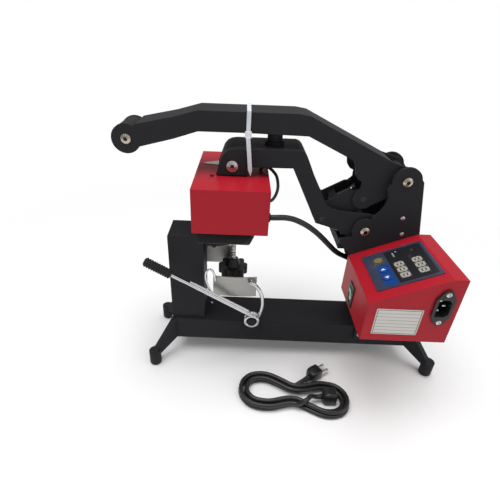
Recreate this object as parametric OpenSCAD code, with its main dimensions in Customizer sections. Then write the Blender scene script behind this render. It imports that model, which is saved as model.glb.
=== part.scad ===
// Cap heat press: a clamshell press with a curved heated head, a curved
// lower saddle on a pressure screw, a toggle handle and a control box.
// X runs from the handle end to the hinge end, Y away from the control
// box, Z up. The origin is on the floor under the middle of the press.

/* [Beam and feet] */
// Length of the base over both end plates
base_l = 376; // [330:1:420]
// Width of the beam
beam_w = 60; // [58:1:70]
// Height of the beam
beam_h = 38; // [32:1:44]
// Wall of the beam
beam_wall = 2.5; // [1.5:0.5:4]
// Height of the underside of the beam over the floor
beam_clear = 32; // [28:1:38]
// Thickness of the leg end plates
end_plate_t = 6; // [4:1:8]
// Thickness of one leg
leg_t = 10; // [8:1:12]
// How far a foot stands out past the end of the base
leg_out = 26; // [22:1:34]
// How far a foot stands out past the side of the beam
leg_side = 24.5; // [20:0.5:32]
// Radius of a rubber foot
foot_r = 9; // [7:0.5:10]
// Height of a rubber foot
foot_h = 12; // [8:1:14]

/* [Post] */
// Side of the square post
post_w = 50; // [44:1:54]
// Height of the post over the beam
post_h = 145; // [140:1:146]
// Wall of the post
post_wall = 2.5; // [1.5:0.5:4]

/* [Side plates and hinge] */
// Thickness of one side plate
side_t = 4; // [3:0.5:5]
// Distance from the handle end of the base to the arm hinge
arm_pivot_run = 265; // [262:1:268]
// Height of the arm hinge over the floor
arm_pivot_z = 239; // [237:1:241]
// Diameter of the two hinge shafts
shaft_d = 12; // [10:1:13]
// Diameter of the head of a shaft screw
shaft_screw_d = 12; // [11:0.5:16]
// Radial running clearance on shafts and pins
run_fit = 0.08; // [0.05:0.01:0.1]
// Side clearance between moving plates
side_fit = 0.3; // [0.2:0.05:0.4]

/* [Arm] */
// Width of the arm over its cheeks
arm_w = 56; // [54:1:57]
// Thickness of the arm sheet
arm_t = 3; // [2.5:0.5:3]
// Height of the arm top over the floor
arm_top_z = 341; // [339:1:343]
// Diameter of the pins in the arm
arm_pin_d = 8; // [7:0.5:9]
// Diameter of the pin that the link pulls on
link_pin_d = 6; // [5:0.5:6]
// Radius of the rubber bumper
bumper_r = 9.5; // [8:0.5:11]

/* [Handle] */
// Width of the handle over its cheeks
handle_w = 48; // [46:1:48]
// Thickness of the handle sheet
handle_t = 3.5; // [3:0.5:3.5]
// Height of the handle top over the floor
handle_top_z = 383; // [381:1:386]
// Depth of the handle section
handle_d = 24; // [21:1:25]
// Radius of the round end of the handle
handle_end_r = 18; // [16:1:20]
// Distance from the head centre to the grip centre
handle_reach = 129; // [120:1:138]
// Radius of the grip sleeve
grip_r = 17.3; // [12:0.1:17.5]

/* [Toggle link] */
// Length of the crank from the handle pivot to the link pin
crank_l = 53.7; // [53:0.1:54.4]
// Width of the link over its cheeks
link_w = 40; // [36:1:40]
// Thickness of the link sheet
link_t = 4; // [3:0.5:5]
// Lengthwise play of the link on the pin in the arm
link_play = 7.6; // [7.6:0.1:9]

/* [Heated head] */
// Size of the head cover along the beam
head_l = 93; // [88:1:96]
// Size of the head cover across the beam
head_w = 150; // [146:1:160]
// Height of the head cover
head_h = 57; // [55:1:58]
// Thickness of the cover sheet
head_t = 1.5; // [1:0.25:2]
// Radius of the pressing face of the platen
platen_r = 85; // [83:1:88]
// Thickness of the platen
platen_t = 12; // [9:1:14]
// Length of the platen along the beam
platen_l = 76; // [66:1:80]
// Half angle of the platen arc
platen_a = 47; // [42:1:48]

/* [Saddle] */
// Gap for the cap between the platen and the saddle pad
cap_gap = 4.5; // [4.2:0.1:6]
// Thickness of the silicone pad
pad_t = 6; // [4:0.5:8]
// Thickness of the curved saddle plate
saddle_t = 4; // [3:0.5:5]
// Half angle of the saddle arc
saddle_a = 56; // [50:1:57]
// Length of the saddle along the beam
saddle_l = 76; // [66:1:78]
// Corner radius of the saddle on the hinge side
saddle_corner = 26; // [14:1:28]
// Diameter of the pressure screw
screw_d = 8; // [6:1:8]
// Outer radius of the star knob
knob_r = 21.7; // [18:0.1:23]
// Height of the star knob body
knob_h = 14; // [10:1:16]
// Number of lobes on the star knob
knob_lobes = 8; // [6:1:9]

/* [Band lever] */
// Diameter of the lever wire
wire_d = 5.5; // [4.5:0.5:5.5]
// Diameter of the hook wire
hook_d = 3; // [2.5:0.5:4]
// Length of the lever from its pivot to the end of its grip
lever_l = 182; // [160:1:190]
// Diameter of the lever grip
lever_grip_d = 14; // [11:1:15]
// Length of the lever grip
lever_grip_l = 42; // [34:1:55]
// Width of the curved band plate
band_w = 63; // [60:1:66]
// Height of the curved band plate
band_h = 34; // [28:1:36]
// Thickness of the band plate
band_t = 1.2; // [0.8:0.1:1.5]

/* [Control box] */
// Width of the control box along the beam
box_l = 102; // [100:1:110]
// Depth of the control box away from the side plate
box_d = 103; // [98:1:115]
// Height of the box at its low edge
box_low_h = 55; // [52:1:60]
// Height of the box at its high edge
box_high_h = 91.5; // [88:0.5:92]
// Height of the box floor over the floor
box_z = 146; // [142:1:148]
// Width of the flat strip at the high edge
box_flat = 16.5; // [12:0.5:20]
// Thickness of the box sheet
box_t = 1.2; // [0.8:0.1:2]
// Width of the operating panel up the slope
panel_l = 75; // [70:1:78]
// Length of the operating panel across the slope
panel_w = 72; // [70:1:76]
// Distance between the two screws of the mains inlet
inlet_pitch = 40; // [38:0.5:42]

/* [Leads] */
// Diameter of the cable to the head
cable_d = 7.5; // [6:0.5:8]
// Diameter of the mains lead
lead_d = 6.5; // [6:0.1:6.8]

/* [Hidden] */
$fn = 48;

seat_gap = 0.3;
bond = 0.1;
black = [0.11, 0.11, 0.12];
red = [0.6, 0.1, 0.14];
silver = [0.75, 0.76, 0.78];
rubber = [0.07, 0.07, 0.07];

// Working axes: X = 0 at the head centre, Y = 0 on the beam centre line.
base_x0 = -88;
base_x1 = base_x0 + base_l;
beam_x0 = base_x0 + end_plate_t;
beam_x1 = base_x1 - end_plate_t;
beam_top = beam_clear + beam_h;
post_top = beam_top + post_h;

// Hinge points: A carries the arm, B the handle, C joins handle and link,
// E joins link and arm. A and B are fixed in the side plates.
pivot_a = [base_x0 + arm_pivot_run, arm_pivot_z];
pivot_b = pivot_a + [38, 70];
pivot_e = pivot_a + [-57, 13];
toggle_dir = (pivot_e - pivot_b) / norm(pivot_e - pivot_b);
over_centre = 1;
pivot_c = pivot_b + toggle_dir * crank_l + [-toggle_dir[1], toggle_dir[0]] * over_centre;
link_v = pivot_c - pivot_e;
link_l = norm(link_v);
link_angle = atan2(link_v[1], link_v[0]);
side_y0 = beam_w / 2;
side_y1 = side_y0 + side_t;
arm_y0 = arm_w / 2 - arm_t;
arm_y1 = arm_w / 2;
handle_y0 = handle_w / 2 - handle_t;
handle_y1 = handle_w / 2;
link_y0 = link_w / 2 - link_t;
link_y1 = link_w / 2;
shaft_r = shaft_d / 2;

// Head and saddle, around the arc centre of the platen.
head_top = pivot_a[1] + 67;
head_z0 = head_top - head_h;
head_pin_z = head_top + 13.3;
arc_z = head_z0 + 22 - platen_r;
platen_x0 = -43;
saddle_x0 = -41.5;
pad_r = platen_r - cap_gap;
arch_r = pad_r - pad_t;
screw_x = 4;
bracket_t = 8;
bracket_top = post_top - 9;
saddle_base_z = bracket_top + 16;
saddle_base_t = 4;
guide_x = -24;
guide_y = 13;
guide_r = 3;
screw_tip_z = saddle_base_z - 0.3;
knob_z0 = 143;
hub_h = 11;

// Control box on the near side plate.
box_x0 = 161.8;
box_x1 = box_x0 + box_l;
box_y1 = -side_y1;
box_y0 = box_y1 - box_d;
slope_run = box_l - box_flat;
slope_a = atan2(box_high_h - box_low_h, slope_run);
inlet_x = 245.5;
inlet_z = 199.5;
inlet_w = 22;
inlet_flange = 2.5;
inlet_screw_h = 1.6;

// Lever pivot on the near face of the beam.
lever_pivot = [35, 87.5];
lever_y = -47.6;
coil_r = 8.9;
coil_pitch = wire_d + 0.6;
hook_y = lever_y + wire_d / 2 + hook_d / 2 + 0.1;
band_top_z = 158;
band_pin_z = 152.5;
band_r = 200;

// The origin on the floor under the middle of the press.
span_x0 = -handle_reach - handle_end_r;
span_x1 = base_x1 + leg_out + foot_r;
span_y0 = box_y0 - inlet_flange - inlet_screw_h;
span_y1 = head_w / 2;
mid_x = (span_x0 + span_x1) / 2;
mid_y = (span_y0 + span_y1) / 2;

module placed() {
    translate([-mid_x, -mid_y, 0]) children();
}

// A flat shape drawn in X and Z, made solid between two Y values.
module slab(y0, y1) {
    translate([0, y1, 0]) rotate([90, 0, 0]) linear_extrude(y1 - y0) children();
}

// Two equal slabs, one on each side of the centre plane.
module pair(y0, y1) {
    slab(y0, y1) children();
    slab(-y1, -y0) children();
}

// A round bar along Y.
module bar_y(x, z, r, y0, y1) {
    translate([x, y0, z]) rotate([-90, 0, 0]) cylinder(h = y1 - y0, r = r);
}

// A block between two corners.
module block(a, b) {
    translate(a) cube(b - a);
}

// A flat strip between two points.
module strip(a, b, w0, w1) {
    d = (b - a) / norm(b - a);
    n = [-d[1], d[0]];
    polygon([a + n * w0, b + n * w0, b - n * w1, a - n * w1]);
}

module round_rect(w, h, r) {
    square([w - 2 * r, h], center = true);
    square([w, h - 2 * r], center = true);
    for (x = [-1, 1], y = [-1, 1]) translate([x * (w / 2 - r), y * (h / 2 - r)]) circle(r);
}

// A pan head screw seen along its own axis: head up from z = 0.
module screw(r, l, head_r, head_h) {
    translate([0, 0, -l]) cylinder(h = l, r = r);
    difference() {
        rotate_extrude() {
            square([head_r, head_h * 0.4]);
            intersection() {
                square([head_r, head_h]);
                translate([0, head_h - head_r * 1.6]) circle(head_r * 1.6);
            }
        }
        translate([0, 0, head_h * 0.45]) cylinder(h = head_h, r = head_r * 0.42, $fn = 6);
    }
}

// A swept tube through a list of points, made of triangles.
function unit(v) = v / norm(v);
function square_to(n, t) = unit(n - (n * t) * t);
function any_normal(t) = square_to(abs(t[2]) < 0.9 ? [0, 0, 1] : [1, 0, 0], t);
function tangents(p) = [for (i = [0:len(p) - 1]) unit(p[min(i + 1, len(p) - 1)] - p[max(i - 1, 0)])];
function normals(t) = [for (i = 0, n = any_normal(t[0]); i < len(t);
    i = i + 1, n = i < len(t) ? square_to(n, t[i]) : n) n];

module tube(p, r, sides) {
    t = tangents(p);
    n = normals(t);
    k = len(p);
    pts = [for (i = [0:k - 1], j = [0:sides - 1]) let (a = 360 * j / sides)
        p[i] + r * (cos(a) * n[i] + sin(a) * cross(t[i], n[i]))];
    wall = [for (i = [0:k - 2], j = [0:sides - 1]) let (
        a = i * sides + j, b = i * sides + (j + 1) % sides) each [[a, b + sides, b], [a, a + sides, b + sides]]];
    ends = [for (j = [1:sides - 2]) each [[0, j, j + 1],
        [(k - 1) * sides, (k - 1) * sides + j + 1, (k - 1) * sides + j]]];
    polyhedron(points = pts, faces = concat(wall, ends), convexity = 8);
}

module base_beam() {
    color(black) placed() difference() {
        block([beam_x0, -beam_w / 2, beam_clear], [beam_x1, beam_w / 2, beam_top]);
        block([beam_x0 - 1, -beam_w / 2 + beam_wall, beam_clear + beam_wall],
            [beam_x1 + 1, beam_w / 2 - beam_wall, beam_top - beam_wall]);
        for (p = side_bolt_points) bar_y(p[0], p[1], bolt_r + 0.3, -beam_w, beam_w);
        translate([-29.8, 12, beam_top - beam_wall - 1]) cylinder(h = beam_wall + 2, r = 2.2);
    }
}

// One leg: a tapered plate that runs out along a diagonal to its foot.
module leg() {
    run = [leg_out + 2, leg_side + 2];
    l = norm(run);
    rotate([0, 0, atan2(run[1], run[0])]) {
        translate([0, leg_t / 2, 0]) rotate([90, 0, 0]) linear_extrude(leg_t) polygon([
            [-1.5, beam_top], [-1.5, beam_clear], [0, beam_clear], [l - 6, foot_h + 4], [l - 4, foot_h],
            [l, foot_h], [l, foot_h + 13], [l - 5, foot_h + 18]]);
        translate([l, 0, foot_h]) cylinder(h = 13, r = foot_r);
    }
}

yoke_bolt_y = 18;
yoke_bolt_z = 11;
module leg_yokes() {
    color(black) placed() for (e = [0, 1]) translate([e * (base_x0 + base_x1), 0, 0]) mirror([e, 0, 0])
        difference() {
            union() {
                block([base_x0, -beam_w / 2, beam_clear], [base_x0 + end_plate_t, beam_w / 2, beam_top]);
                difference() {
                    for (s = [-1, 1]) translate([base_x0 + 2, s * (beam_w / 2 - 2), 0])
                        mirror([0, s < 0 ? 1 : 0, 0]) mirror([1, 0, 0]) leg();
                    block([base_x0 + end_plate_t, -beam_w, 0], [base_x0 + 40, beam_w, post_top]);
                }
            }
            for (y = [-1, 1], z = [-1, 1])
                translate([base_x0 - 1, y * yoke_bolt_y, beam_clear + beam_h / 2 + z * yoke_bolt_z])
                    rotate([0, 90, 0]) cylinder(h = end_plate_t + 2, r = bolt_r + 0.3);
        }
}

module rubber_feet() {
    color(rubber) placed() for (x = [base_x0 - leg_out, base_x1 + leg_out], s = [-1, 1])
        translate([x, s * (beam_w / 2 + leg_side), 0]) {
            cylinder(h = 2, r1 = foot_r - 1.5, r2 = foot_r);
            translate([0, 0, 2]) cylinder(h = foot_h - 2, r = foot_r);
        }
}

bolt_r = 3;
bolt_head_r = 5;
bolt_head_h = 3;
plate_x0 = pivot_a[0] + 21;
plate_x1 = beam_x1;
side_bolt_points = [for (x = [plate_x0 + 8, plate_x1 - 19]) [x, beam_clear + 25]];
lug_z = beam_top - 11;
// The back edge of a side plate, from the beam up to the handle hinge.
back_top = pivot_b + [20.5, 0];
function back_edge(z) = plate_x1 + (back_top[0] - plate_x1) * (z - beam_top) / (back_top[1] - beam_top);
channel_inset = 23.5;
channel_screw_r = 1.8;
channel_points = [for (z = [21, -2, -107]) [back_edge(pivot_a[1] + z) - channel_inset, pivot_a[1] + z]];
module frame_bolts() {
    color(silver) placed() {
        for (s = [-1, 1]) {
            for (p = side_bolt_points) translate([p[0], s * side_y1, p[1]]) rotate([-90 * s, 0, 0])
                screw(bolt_r, side_t + beam_wall + 4, bolt_head_r, bolt_head_h);
            for (p = channel_points) translate([p[0], s * side_y1, p[1]]) rotate([-90 * s, 0, 0])
                screw(channel_screw_r, side_t + channel_t + 1.5, channel_screw_r + 1, bolt_head_h - 1.5);
        }
        for (e = [0, 1]) translate([e * (base_x0 + base_x1), 0, 0]) mirror([e, 0, 0])
            for (y = [-1, 1], z = [-1, 1])
                translate([base_x0, y * yoke_bolt_y, beam_clear + beam_h / 2 + z * yoke_bolt_z])
                    rotate([0, -90, 0]) screw(bolt_r, end_plate_t + 4, bolt_head_r, bolt_head_h);
    }
}

post_x0 = base_x0;
post_x1 = base_x0 + post_w;
module post() {
    color(black) placed() difference() {
        block([post_x0, -post_w / 2, beam_top], [post_x1, post_w / 2, post_top]);
        block([post_x0 + post_wall, -post_w / 2 + post_wall, beam_top - 1],
            [post_x1 - post_wall, post_w / 2 - post_wall, post_top - post_wall]);
    }
}

// A steel plate on the far side of the post, with its two screws.
post_plate_t = 3;
post_plate_h = 31;
module post_side_plate() {
    z = pivot_a[1] - 80.5;
    color([0.6, 0.6, 0.58]) placed() {
        slab(post_w / 2, post_w / 2 + post_plate_t) translate([post_x1 + 7, z]) round_rect(62, post_plate_h, 3);
        for (x = [post_x1 - 16, post_x1 - 8]) translate([x, post_w / 2 + post_plate_t - 0.2, z])
            rotate([-90, 0, 0]) screw(1, 1, 3, 2);
    }
}

// Outline of a side plate in X and Z: foot on the beam, round lobe at the
// arm hinge, hollow for the toggle, and a horn that carries the handle.
horn_r = 18;
lobe_r = 17;
module side_outline() {
    foot_z = beam_clear + 14;
    difference() {
        union() {
            polygon([[plate_x0, foot_z], [plate_x1, foot_z], [plate_x1, beam_top],
                back_top, [pivot_b[0] - 18, pivot_b[1]],
                [pivot_a[0] + 3, pivot_a[1] + 10], [pivot_a[0] - 14, pivot_a[1] - 5],
                [pivot_a[0] - 14, pivot_a[1] - 36], [plate_x0 - 3, beam_top + 55]]);
            polygon([[pivot_b[0] - horn_r, pivot_b[1] - 4], back_top,
                [pivot_b[0] + 12.3, pivot_b[1] + 9.7], [pivot_b[0] + 8, pivot_b[1] + 16],
                [pivot_b[0], pivot_b[1] + horn_r], [pivot_b[0] - 8, pivot_b[1] + 16]]);
            translate(pivot_a) circle(lobe_r);
            translate(pivot_b) circle(horn_r);
            polygon([[pivot_a[0] - 10, pivot_a[1] - 9], [pivot_a[0] - 30, pivot_a[1] - 13],
                [pivot_a[0] - 30, pivot_a[1] - 20], [pivot_a[0] - 14, pivot_a[1] - 36]]);
        }
        translate([pivot_c[0] - 1, pivot_c[1] + 3.5]) circle(28);
        polygon([[pivot_c[0] - 60, pivot_c[1] + 60], [pivot_c[0] - 60, pivot_a[1] + lobe_r],
            [pivot_a[0] + 2, pivot_a[1] + lobe_r], [pivot_c[0] - 1, pivot_c[1]],
            [pivot_c[0] + 20, pivot_c[1] + 20], [pivot_b[0] - horn_r - 0.1, pivot_c[1] + 24],
            [pivot_b[0] - horn_r - 0.1, pivot_c[1] + 60]]);
    }
}

module side_holes() {
    bar_y(pivot_a[0], pivot_a[1], shaft_r + 0.02, -beam_w, beam_w);
    bar_y(pivot_b[0], pivot_b[1], shaft_r + 0.02, -beam_w, beam_w);
    for (p = side_bolt_points) bar_y(p[0], p[1], bolt_r + 0.3, -beam_w, beam_w);
    for (p = channel_points) bar_y(p[0], p[1], channel_screw_r + 0.3, -beam_w, beam_w);
}

gland_x = pivot_a[0] + 15;
gland_z = 172;
gland_r = 7;
module near_side_plate() {
    color(black) placed() difference() {
        slab(-side_y1, -side_y0) side_outline();
        side_holes();
        bar_y(gland_x, gland_z, gland_r + 0.2, -beam_w, 0);
        for (p = box_screw_points) bar_y(p[0], p[1], small_r + 0.2, -beam_w, 0);
    }
}

module far_side_plate() {
    color(black) placed() difference() {
        slab(side_y0, side_y1) side_outline();
        side_holes();
    }
}

// A folded channel between the side plates, along their sloping back edge.
channel_t = 3;
module back_channel() {
    top = channel_points[0] + (channel_points[0] - channel_points[1]) * 0.45;
    low = channel_points[2] + (channel_points[2] - channel_points[1]) * 0.25;
    color(black) placed() difference() {
        slab(-side_y0, side_y0) strip(low, top, 8, 8);
        slab(-side_y0 + channel_t, side_y0 - channel_t) translate([-channel_t, 0]) strip(low, top, 12, 8);
        for (p = channel_points) bar_y(p[0], p[1], channel_screw_r + 0.3, -beam_w, beam_w);
    }
}

stop_x = pivot_a[0] - 24;
stop_bar_z = pivot_a[1] - 30;
stop_bar_h = 13;
stop_screw_r = 3;
stop_gap = 0.4;
module arm_stop_bar() {
    color(black) placed() difference() {
        block([stop_x - 6, -side_y0, stop_bar_z], [stop_x + 7, side_y0, stop_bar_z + stop_bar_h]);
        translate([stop_x, 0, stop_bar_z - 1]) cylinder(h = stop_bar_h + 2, r = stop_screw_r + 0.05);
    }
}

heel_line_z = pivot_a[1] - 9.2;
module arm_stop_screw() {
    color(silver) placed() translate([stop_x, 0, 0]) {
        translate([0, 0, stop_bar_z - 6]) cylinder(h = heel_line_z - stop_gap - stop_bar_z + 6, r = stop_screw_r);
        for (s = [-1, 1]) translate([s * 0, 0, 0]) translate([0, 0, stop_bar_z + stop_bar_h])
            cylinder(h = 4, r = 5.5, $fn = 6);
    }
}

module pivot_bolts() {
    color(silver) placed() for (p = [pivot_a, pivot_b]) {
        bar_y(p[0], p[1], shaft_r, -side_y1, side_y1);
        for (s = [-1, 1]) translate([p[0], s * side_y1, p[1]]) rotate([-90 * s, 0, 0])
            screw(1, 1, shaft_screw_d / 2, 4);
    }
}

module pivot_spacers() {
    color(silver) placed() for (s = [-1, 1]) {
        difference() {
            bar_y(pivot_a[0], pivot_a[1], shaft_r + 4, s > 0 ? arm_y1 + side_fit : -side_y0,
                s > 0 ? side_y0 : -arm_y1 - side_fit);
            bar_y(pivot_a[0], pivot_a[1], shaft_r + run_fit, -beam_w, beam_w);
        }
        difference() {
            bar_y(pivot_b[0], pivot_b[1], shaft_r + 4, s > 0 ? handle_y1 + side_fit : -side_y0,
                s > 0 ? side_y0 : -handle_y1 - side_fit);
            bar_y(pivot_b[0], pivot_b[1], shaft_r + run_fit, -beam_w, beam_w);
        }
    }
}

// The bracket that stands out of the post and carries the saddle.
bracket_y = 18;
bracket_nose_r = 10;
guide_tail = 4;
module saddle_bracket() {
    color(black) placed() difference() {
        union() {
            translate([0, 0, bracket_top - bracket_t]) linear_extrude(bracket_t) {
                polygon([[post_x1, -bracket_y], [guide_x + 7, -bracket_y], [screw_x, -bracket_nose_r],
                    [screw_x, bracket_nose_r], [guide_x + 7, bracket_y], [post_x1, bracket_y]]);
                translate([screw_x, 0]) circle(bracket_nose_r);
            }
            block([post_x1, -bracket_y, bracket_top - bracket_t - 10],
                [post_x1 + 4, bracket_y, bracket_top - bracket_t]);
        }
        translate([screw_x, 0, 0]) cylinder(h = post_top, r = screw_d / 2 + run_fit);
        for (s = [-1, 1]) translate([guide_x, s * guide_y, 0]) cylinder(h = post_top, r = guide_r + run_fit);
    }
}

lug_t = 4;
eye_wire_r = wire_d / 2 + 0.2;
eye_r = coil_r + 0.15;
stud_r = eye_r - eye_wire_r - run_fit;
module lever_lug() {
    color(black) placed() difference() {
        slab(-side_y0 - lug_t, -side_y0) {
            translate([lever_pivot[0], lug_z]) round_rect(22, 18, 4);
            translate([lever_pivot[0] - 8, lug_z]) square([16, lever_pivot[1] - lug_z]);
            translate(lever_pivot) circle(8);
        }
        bar_y(lever_pivot[0], lever_pivot[1], stud_r - 1.7, -beam_w, beam_w);
    }
}

// The shouldered stud that the eye of the lever turns on, with its clip.
coil_y0 = lever_y - wire_d / 2;
coil_y1 = lever_y + coil_pitch + wire_d / 2;
module lever_pivot_stud() {
    color(black) placed() {
        bar_y(lever_pivot[0], lever_pivot[1], stud_r, coil_y0 - 1.4, -side_y0 - lug_t);
        bar_y(lever_pivot[0], lever_pivot[1], stud_r - 1.8, -side_y0 - lug_t - 0.5, -side_y0);
        difference() {
            bar_y(lever_pivot[0], lever_pivot[1], stud_r + 0.8, coil_y0 - 1.2, coil_y0 - 0.4);
            bar_y(lever_pivot[0], lever_pivot[1], stud_r - 0.01, coil_y0 - 2, coil_y0);
        }
    }
}

// Outline of the control box in X and Z, drawn in by a wall thickness.
module box_outline(t) {
    k = t * tan(slope_a / 2);
    polygon([[box_x0 + t, box_z + t], [box_x1 - t, box_z + t], [box_x1 - t, box_z + box_high_h - t],
        [box_x0 + slope_run + k, box_z + box_high_h - t],
        [box_x0 + t, box_z + box_low_h - t / cos(slope_a) + t * tan(slope_a)]]);
}

small_r = 1.5;
switch_y = -78;
switch_z = 168;
switch_w = 15;
switch_h = 27;
box_screw_points = [[box_x0 + 44, box_z + 12], [box_x1 - 14, box_z + 12], [box_x0 + 30, box_z + 50],
    [box_x1 - 30, box_z + 70]];
module control_box_cover() {
    color(red) placed() difference() {
        slab(box_y0, box_y1) box_outline(0);
        slab(box_y0 + box_t, box_y1 + 1) box_outline(box_t);
        block([box_x0 + box_t, box_y0 + box_t, box_z - 1], [box_x1 - box_t, box_y1 + 1, box_z + box_t + 1]);
        on_slope() for (p = button_points) translate([p[0], p[1], -5]) cylinder(h = 10, r = button_r + 0.6);
        on_slope() for (u = window_u) translate([u, window_v, 0])
            cube([window_l - 2, window_w - 2, 10], center = true);
        block([box_x0 - 1, switch_y - switch_w / 2, switch_z - switch_h / 2],
            [box_x0 + box_t + 1, switch_y + switch_w / 2, switch_z + switch_h / 2]);
        translate([inlet_x, box_y0, inlet_z]) rotate([90, 0, 0]) translate([0, 0, -5])
            linear_extrude(10) round_rect(inlet_body_w, inlet_body_h, 3);
        for (s = [-1, 1]) bar_y(inlet_x, inlet_z + s * inlet_pitch / 2, small_r + 0.2, box_y0 - 1, box_y0 + 5);
    }
}

// The floor and back of the control box, one folded sheet with lips.
lip = 8;
module control_box_base() {
    x0 = box_x0 + box_t;
    x1 = box_x1 - box_t;
    color(red) placed() difference() {
        union() {
            block([x0, box_y0 + box_t, box_z], [x1, box_y1, box_z + box_t]);
            intersection() {
                slab(box_y1 - box_t, box_y1) box_outline(box_t);
                block([x0, box_y1 - box_t, box_z], [x1, box_y1, box_z + box_high_h]);
            }
            for (x = [x0, x1 - box_t]) block([x, box_y0 + box_t, box_z], [x + box_t, box_y1, box_z + lip]);
        }
        for (p = box_screw_points) bar_y(p[0], p[1], small_r + 0.2, box_y0, box_y1 + 1);
        bar_y(gland_x, gland_z, gland_r + 0.2, box_y1 - 3, box_y1 + 1);
        for (y = [box_y0 + 20, box_y1 - 20]) translate([box_x0 - 1, y, box_z + 5]) rotate([0, 90, 0])
            cylinder(h = box_l + 2, r = small_r + 0.2);
    }
}

// Moves the shape to the sloping top: x up the slope, y across it.
module on_slope() {
    translate([box_x0, 0, box_z + box_low_h]) rotate([0, -slope_a, 0]) children();
}

module panel_screws() {
    color(silver) placed() {
        for (s = [-1, 1]) translate([inlet_x, box_y0 - inlet_flange, inlet_z + s * inlet_pitch / 2])
            rotate([90, 0, 0]) screw(small_r, inlet_flange + box_t + 4, 3, inlet_screw_h);
        for (p = box_screw_points) translate([p[0], box_y1 - box_t, p[1]]) rotate([90, 0, 0])
            screw(small_r, side_t + box_t - 0.4, 3, inlet_screw_h);
    }
}

panel_t = 1.2;
panel_u0 = 14.5;
panel_v = -86;
face_fit = 0.05;
module faceplate() {
    color([0.2, 0.28, 0.42]) placed() difference() {
        on_slope() translate([panel_u0, panel_v - panel_w / 2, face_fit]) cube([panel_l, panel_w, panel_t]);
        on_slope() for (p = button_points) translate([p[0], p[1], -5]) cylinder(h = 10, r = button_r + 0.3);
        on_slope() for (u = window_u) translate([u, window_v, 0])
            cube([window_l, window_w, 10], center = true);
    }
}

window_u = [51.5, 72.5];
window_v = -96;
window_l = 13;
window_w = 34;
module display_windows() {
    color([0.3, 0.3, 0.3]) placed() on_slope() for (u = window_u)
        translate([u - window_l / 2 + 0.1, window_v - window_w / 2 + 0.1, face_fit])
            cube([window_l - 0.2, window_w - 0.2, panel_t + 0.3]);
}

button_r = 5;
button_points = [[31.5, -87.5], [31.5, -103.5], [31.5, -67.5]];
button_rise = 0.9;
button_travel = 0.5;
module button(i) {
    placed() on_slope() translate([button_points[i][0], button_points[i][1], 0]) {
        translate([0, 0, -2.2]) cylinder(h = face_fit + panel_t + button_rise + 2.2, r = button_r);
        translate([0, 0, -board_gap + button_travel + 0.3]) cylinder(h = board_gap - button_travel - 2, r = 2);
    }
}

module set_button() {
    color([0.7, 0.55, 0.25]) button(2);
}

module up_button() {
    color([0.15, 0.35, 0.75]) button(0);
}

module down_button() {
    color([0.15, 0.35, 0.75]) button(1);
}

// The board under the panel, with its transformer, relay and switches.
board_gap = 12;
board_t = 1.6;
board_u0 = 17;
board_u1 = 84;
module circuit_board() {
    color([0.1, 0.4, 0.2]) placed() on_slope() {
        translate([board_u0, panel_v - 33, -board_gap - board_t]) cube([board_u1 - board_u0, 66, board_t]);
        for (u = window_u) translate([u - 6, window_v - 16, -board_gap]) cube([12, 32, board_gap - 2]);
        translate([board_u1 - 34, panel_v - 20, -board_gap - board_t - 20]) cube([28, 34, 20]);
        translate([board_u0 + 4, panel_v + 8, -board_gap - board_t - 12]) cube([16, 19, 12]);
        for (u = [board_u0 + 3, board_u1 - 3], v = [panel_v - 30, panel_v + 30])
            translate([u, v, -board_gap]) cylinder(h = board_gap - box_t, r = 2.5);
    }
}

inlet_body_w = 19.5;
inlet_body_h = 29;
inlet_depth = 22;
inlet_cavity = 17;
inlet_side = 15;
module inlet_socket() {
    color(black) placed() translate([inlet_x, box_y0, inlet_z]) rotate([90, 0, 0]) difference() {
        union() {
            linear_extrude(inlet_flange) {
                round_rect(inlet_w, inlet_body_h + 1, 4);
                for (s = [-1, 1]) translate([0, s * inlet_pitch / 2]) circle(5.2);
                polygon([[-inlet_w / 2, inlet_body_h / 2 - 4], [-5.5, inlet_pitch / 2 + 2.4],
                    [5.5, inlet_pitch / 2 + 2.4], [inlet_w / 2, inlet_body_h / 2 - 4],
                    [inlet_w / 2, -inlet_body_h / 2 + 4], [5.5, -inlet_pitch / 2 - 2.4],
                    [-5.5, -inlet_pitch / 2 - 2.4], [-inlet_w / 2, -inlet_body_h / 2 + 4]]);
            }
            translate([0, 0, -inlet_depth]) linear_extrude(inlet_depth)
                round_rect(inlet_body_w - 0.4, inlet_body_h - 0.4, 3);
        }
        translate([0, 0, inlet_flange - inlet_cavity]) linear_extrude(inlet_cavity + 1) polygon([
            [-inlet_side / 2, -12], [inlet_side / 2 - 4, -12], [inlet_side / 2, -8], [inlet_side / 2, 8],
            [inlet_side / 2 - 4, 12], [-inlet_side / 2, 12]]);
        for (s = [-1, 1]) translate([0, s * inlet_pitch / 2, -5]) cylinder(h = 10, r = small_r + 0.1);
    }
}

module inlet_pins() {
    color([0.8, 0.7, 0.4]) placed() translate([inlet_x, box_y0 + inlet_cavity - inlet_flange, inlet_z])
        for (p = [[-3, -7], [3, 0], [-3, 7]])
            translate([p[0] - 2, -11, p[1] - 1]) cube([4, 11, 2]);
}

bezel_t = 1.6;
module switch_bezel() {
    color(black) placed() difference() {
        union() {
            block([box_x0 - bezel_t, switch_y - switch_w / 2 - 2, switch_z - switch_h / 2 - 2],
                [box_x0, switch_y + switch_w / 2 + 2, switch_z + switch_h / 2 + 2]);
            block([box_x0 - 1, switch_y - switch_w / 2 + 0.2, switch_z - switch_h / 2 + 0.2],
                [box_x0 + 16, switch_y + switch_w / 2 - 0.2, switch_z + switch_h / 2 - 0.2]);
        }
        block([box_x0 - 5, switch_y - rocker_w / 2 - 0.3, switch_z - rocker_h / 2 - 0.6],
            [box_x0 + 10, switch_y + rocker_w / 2 + 0.3, switch_z + rocker_h / 2 + 0.6]);
    }
}

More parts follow.
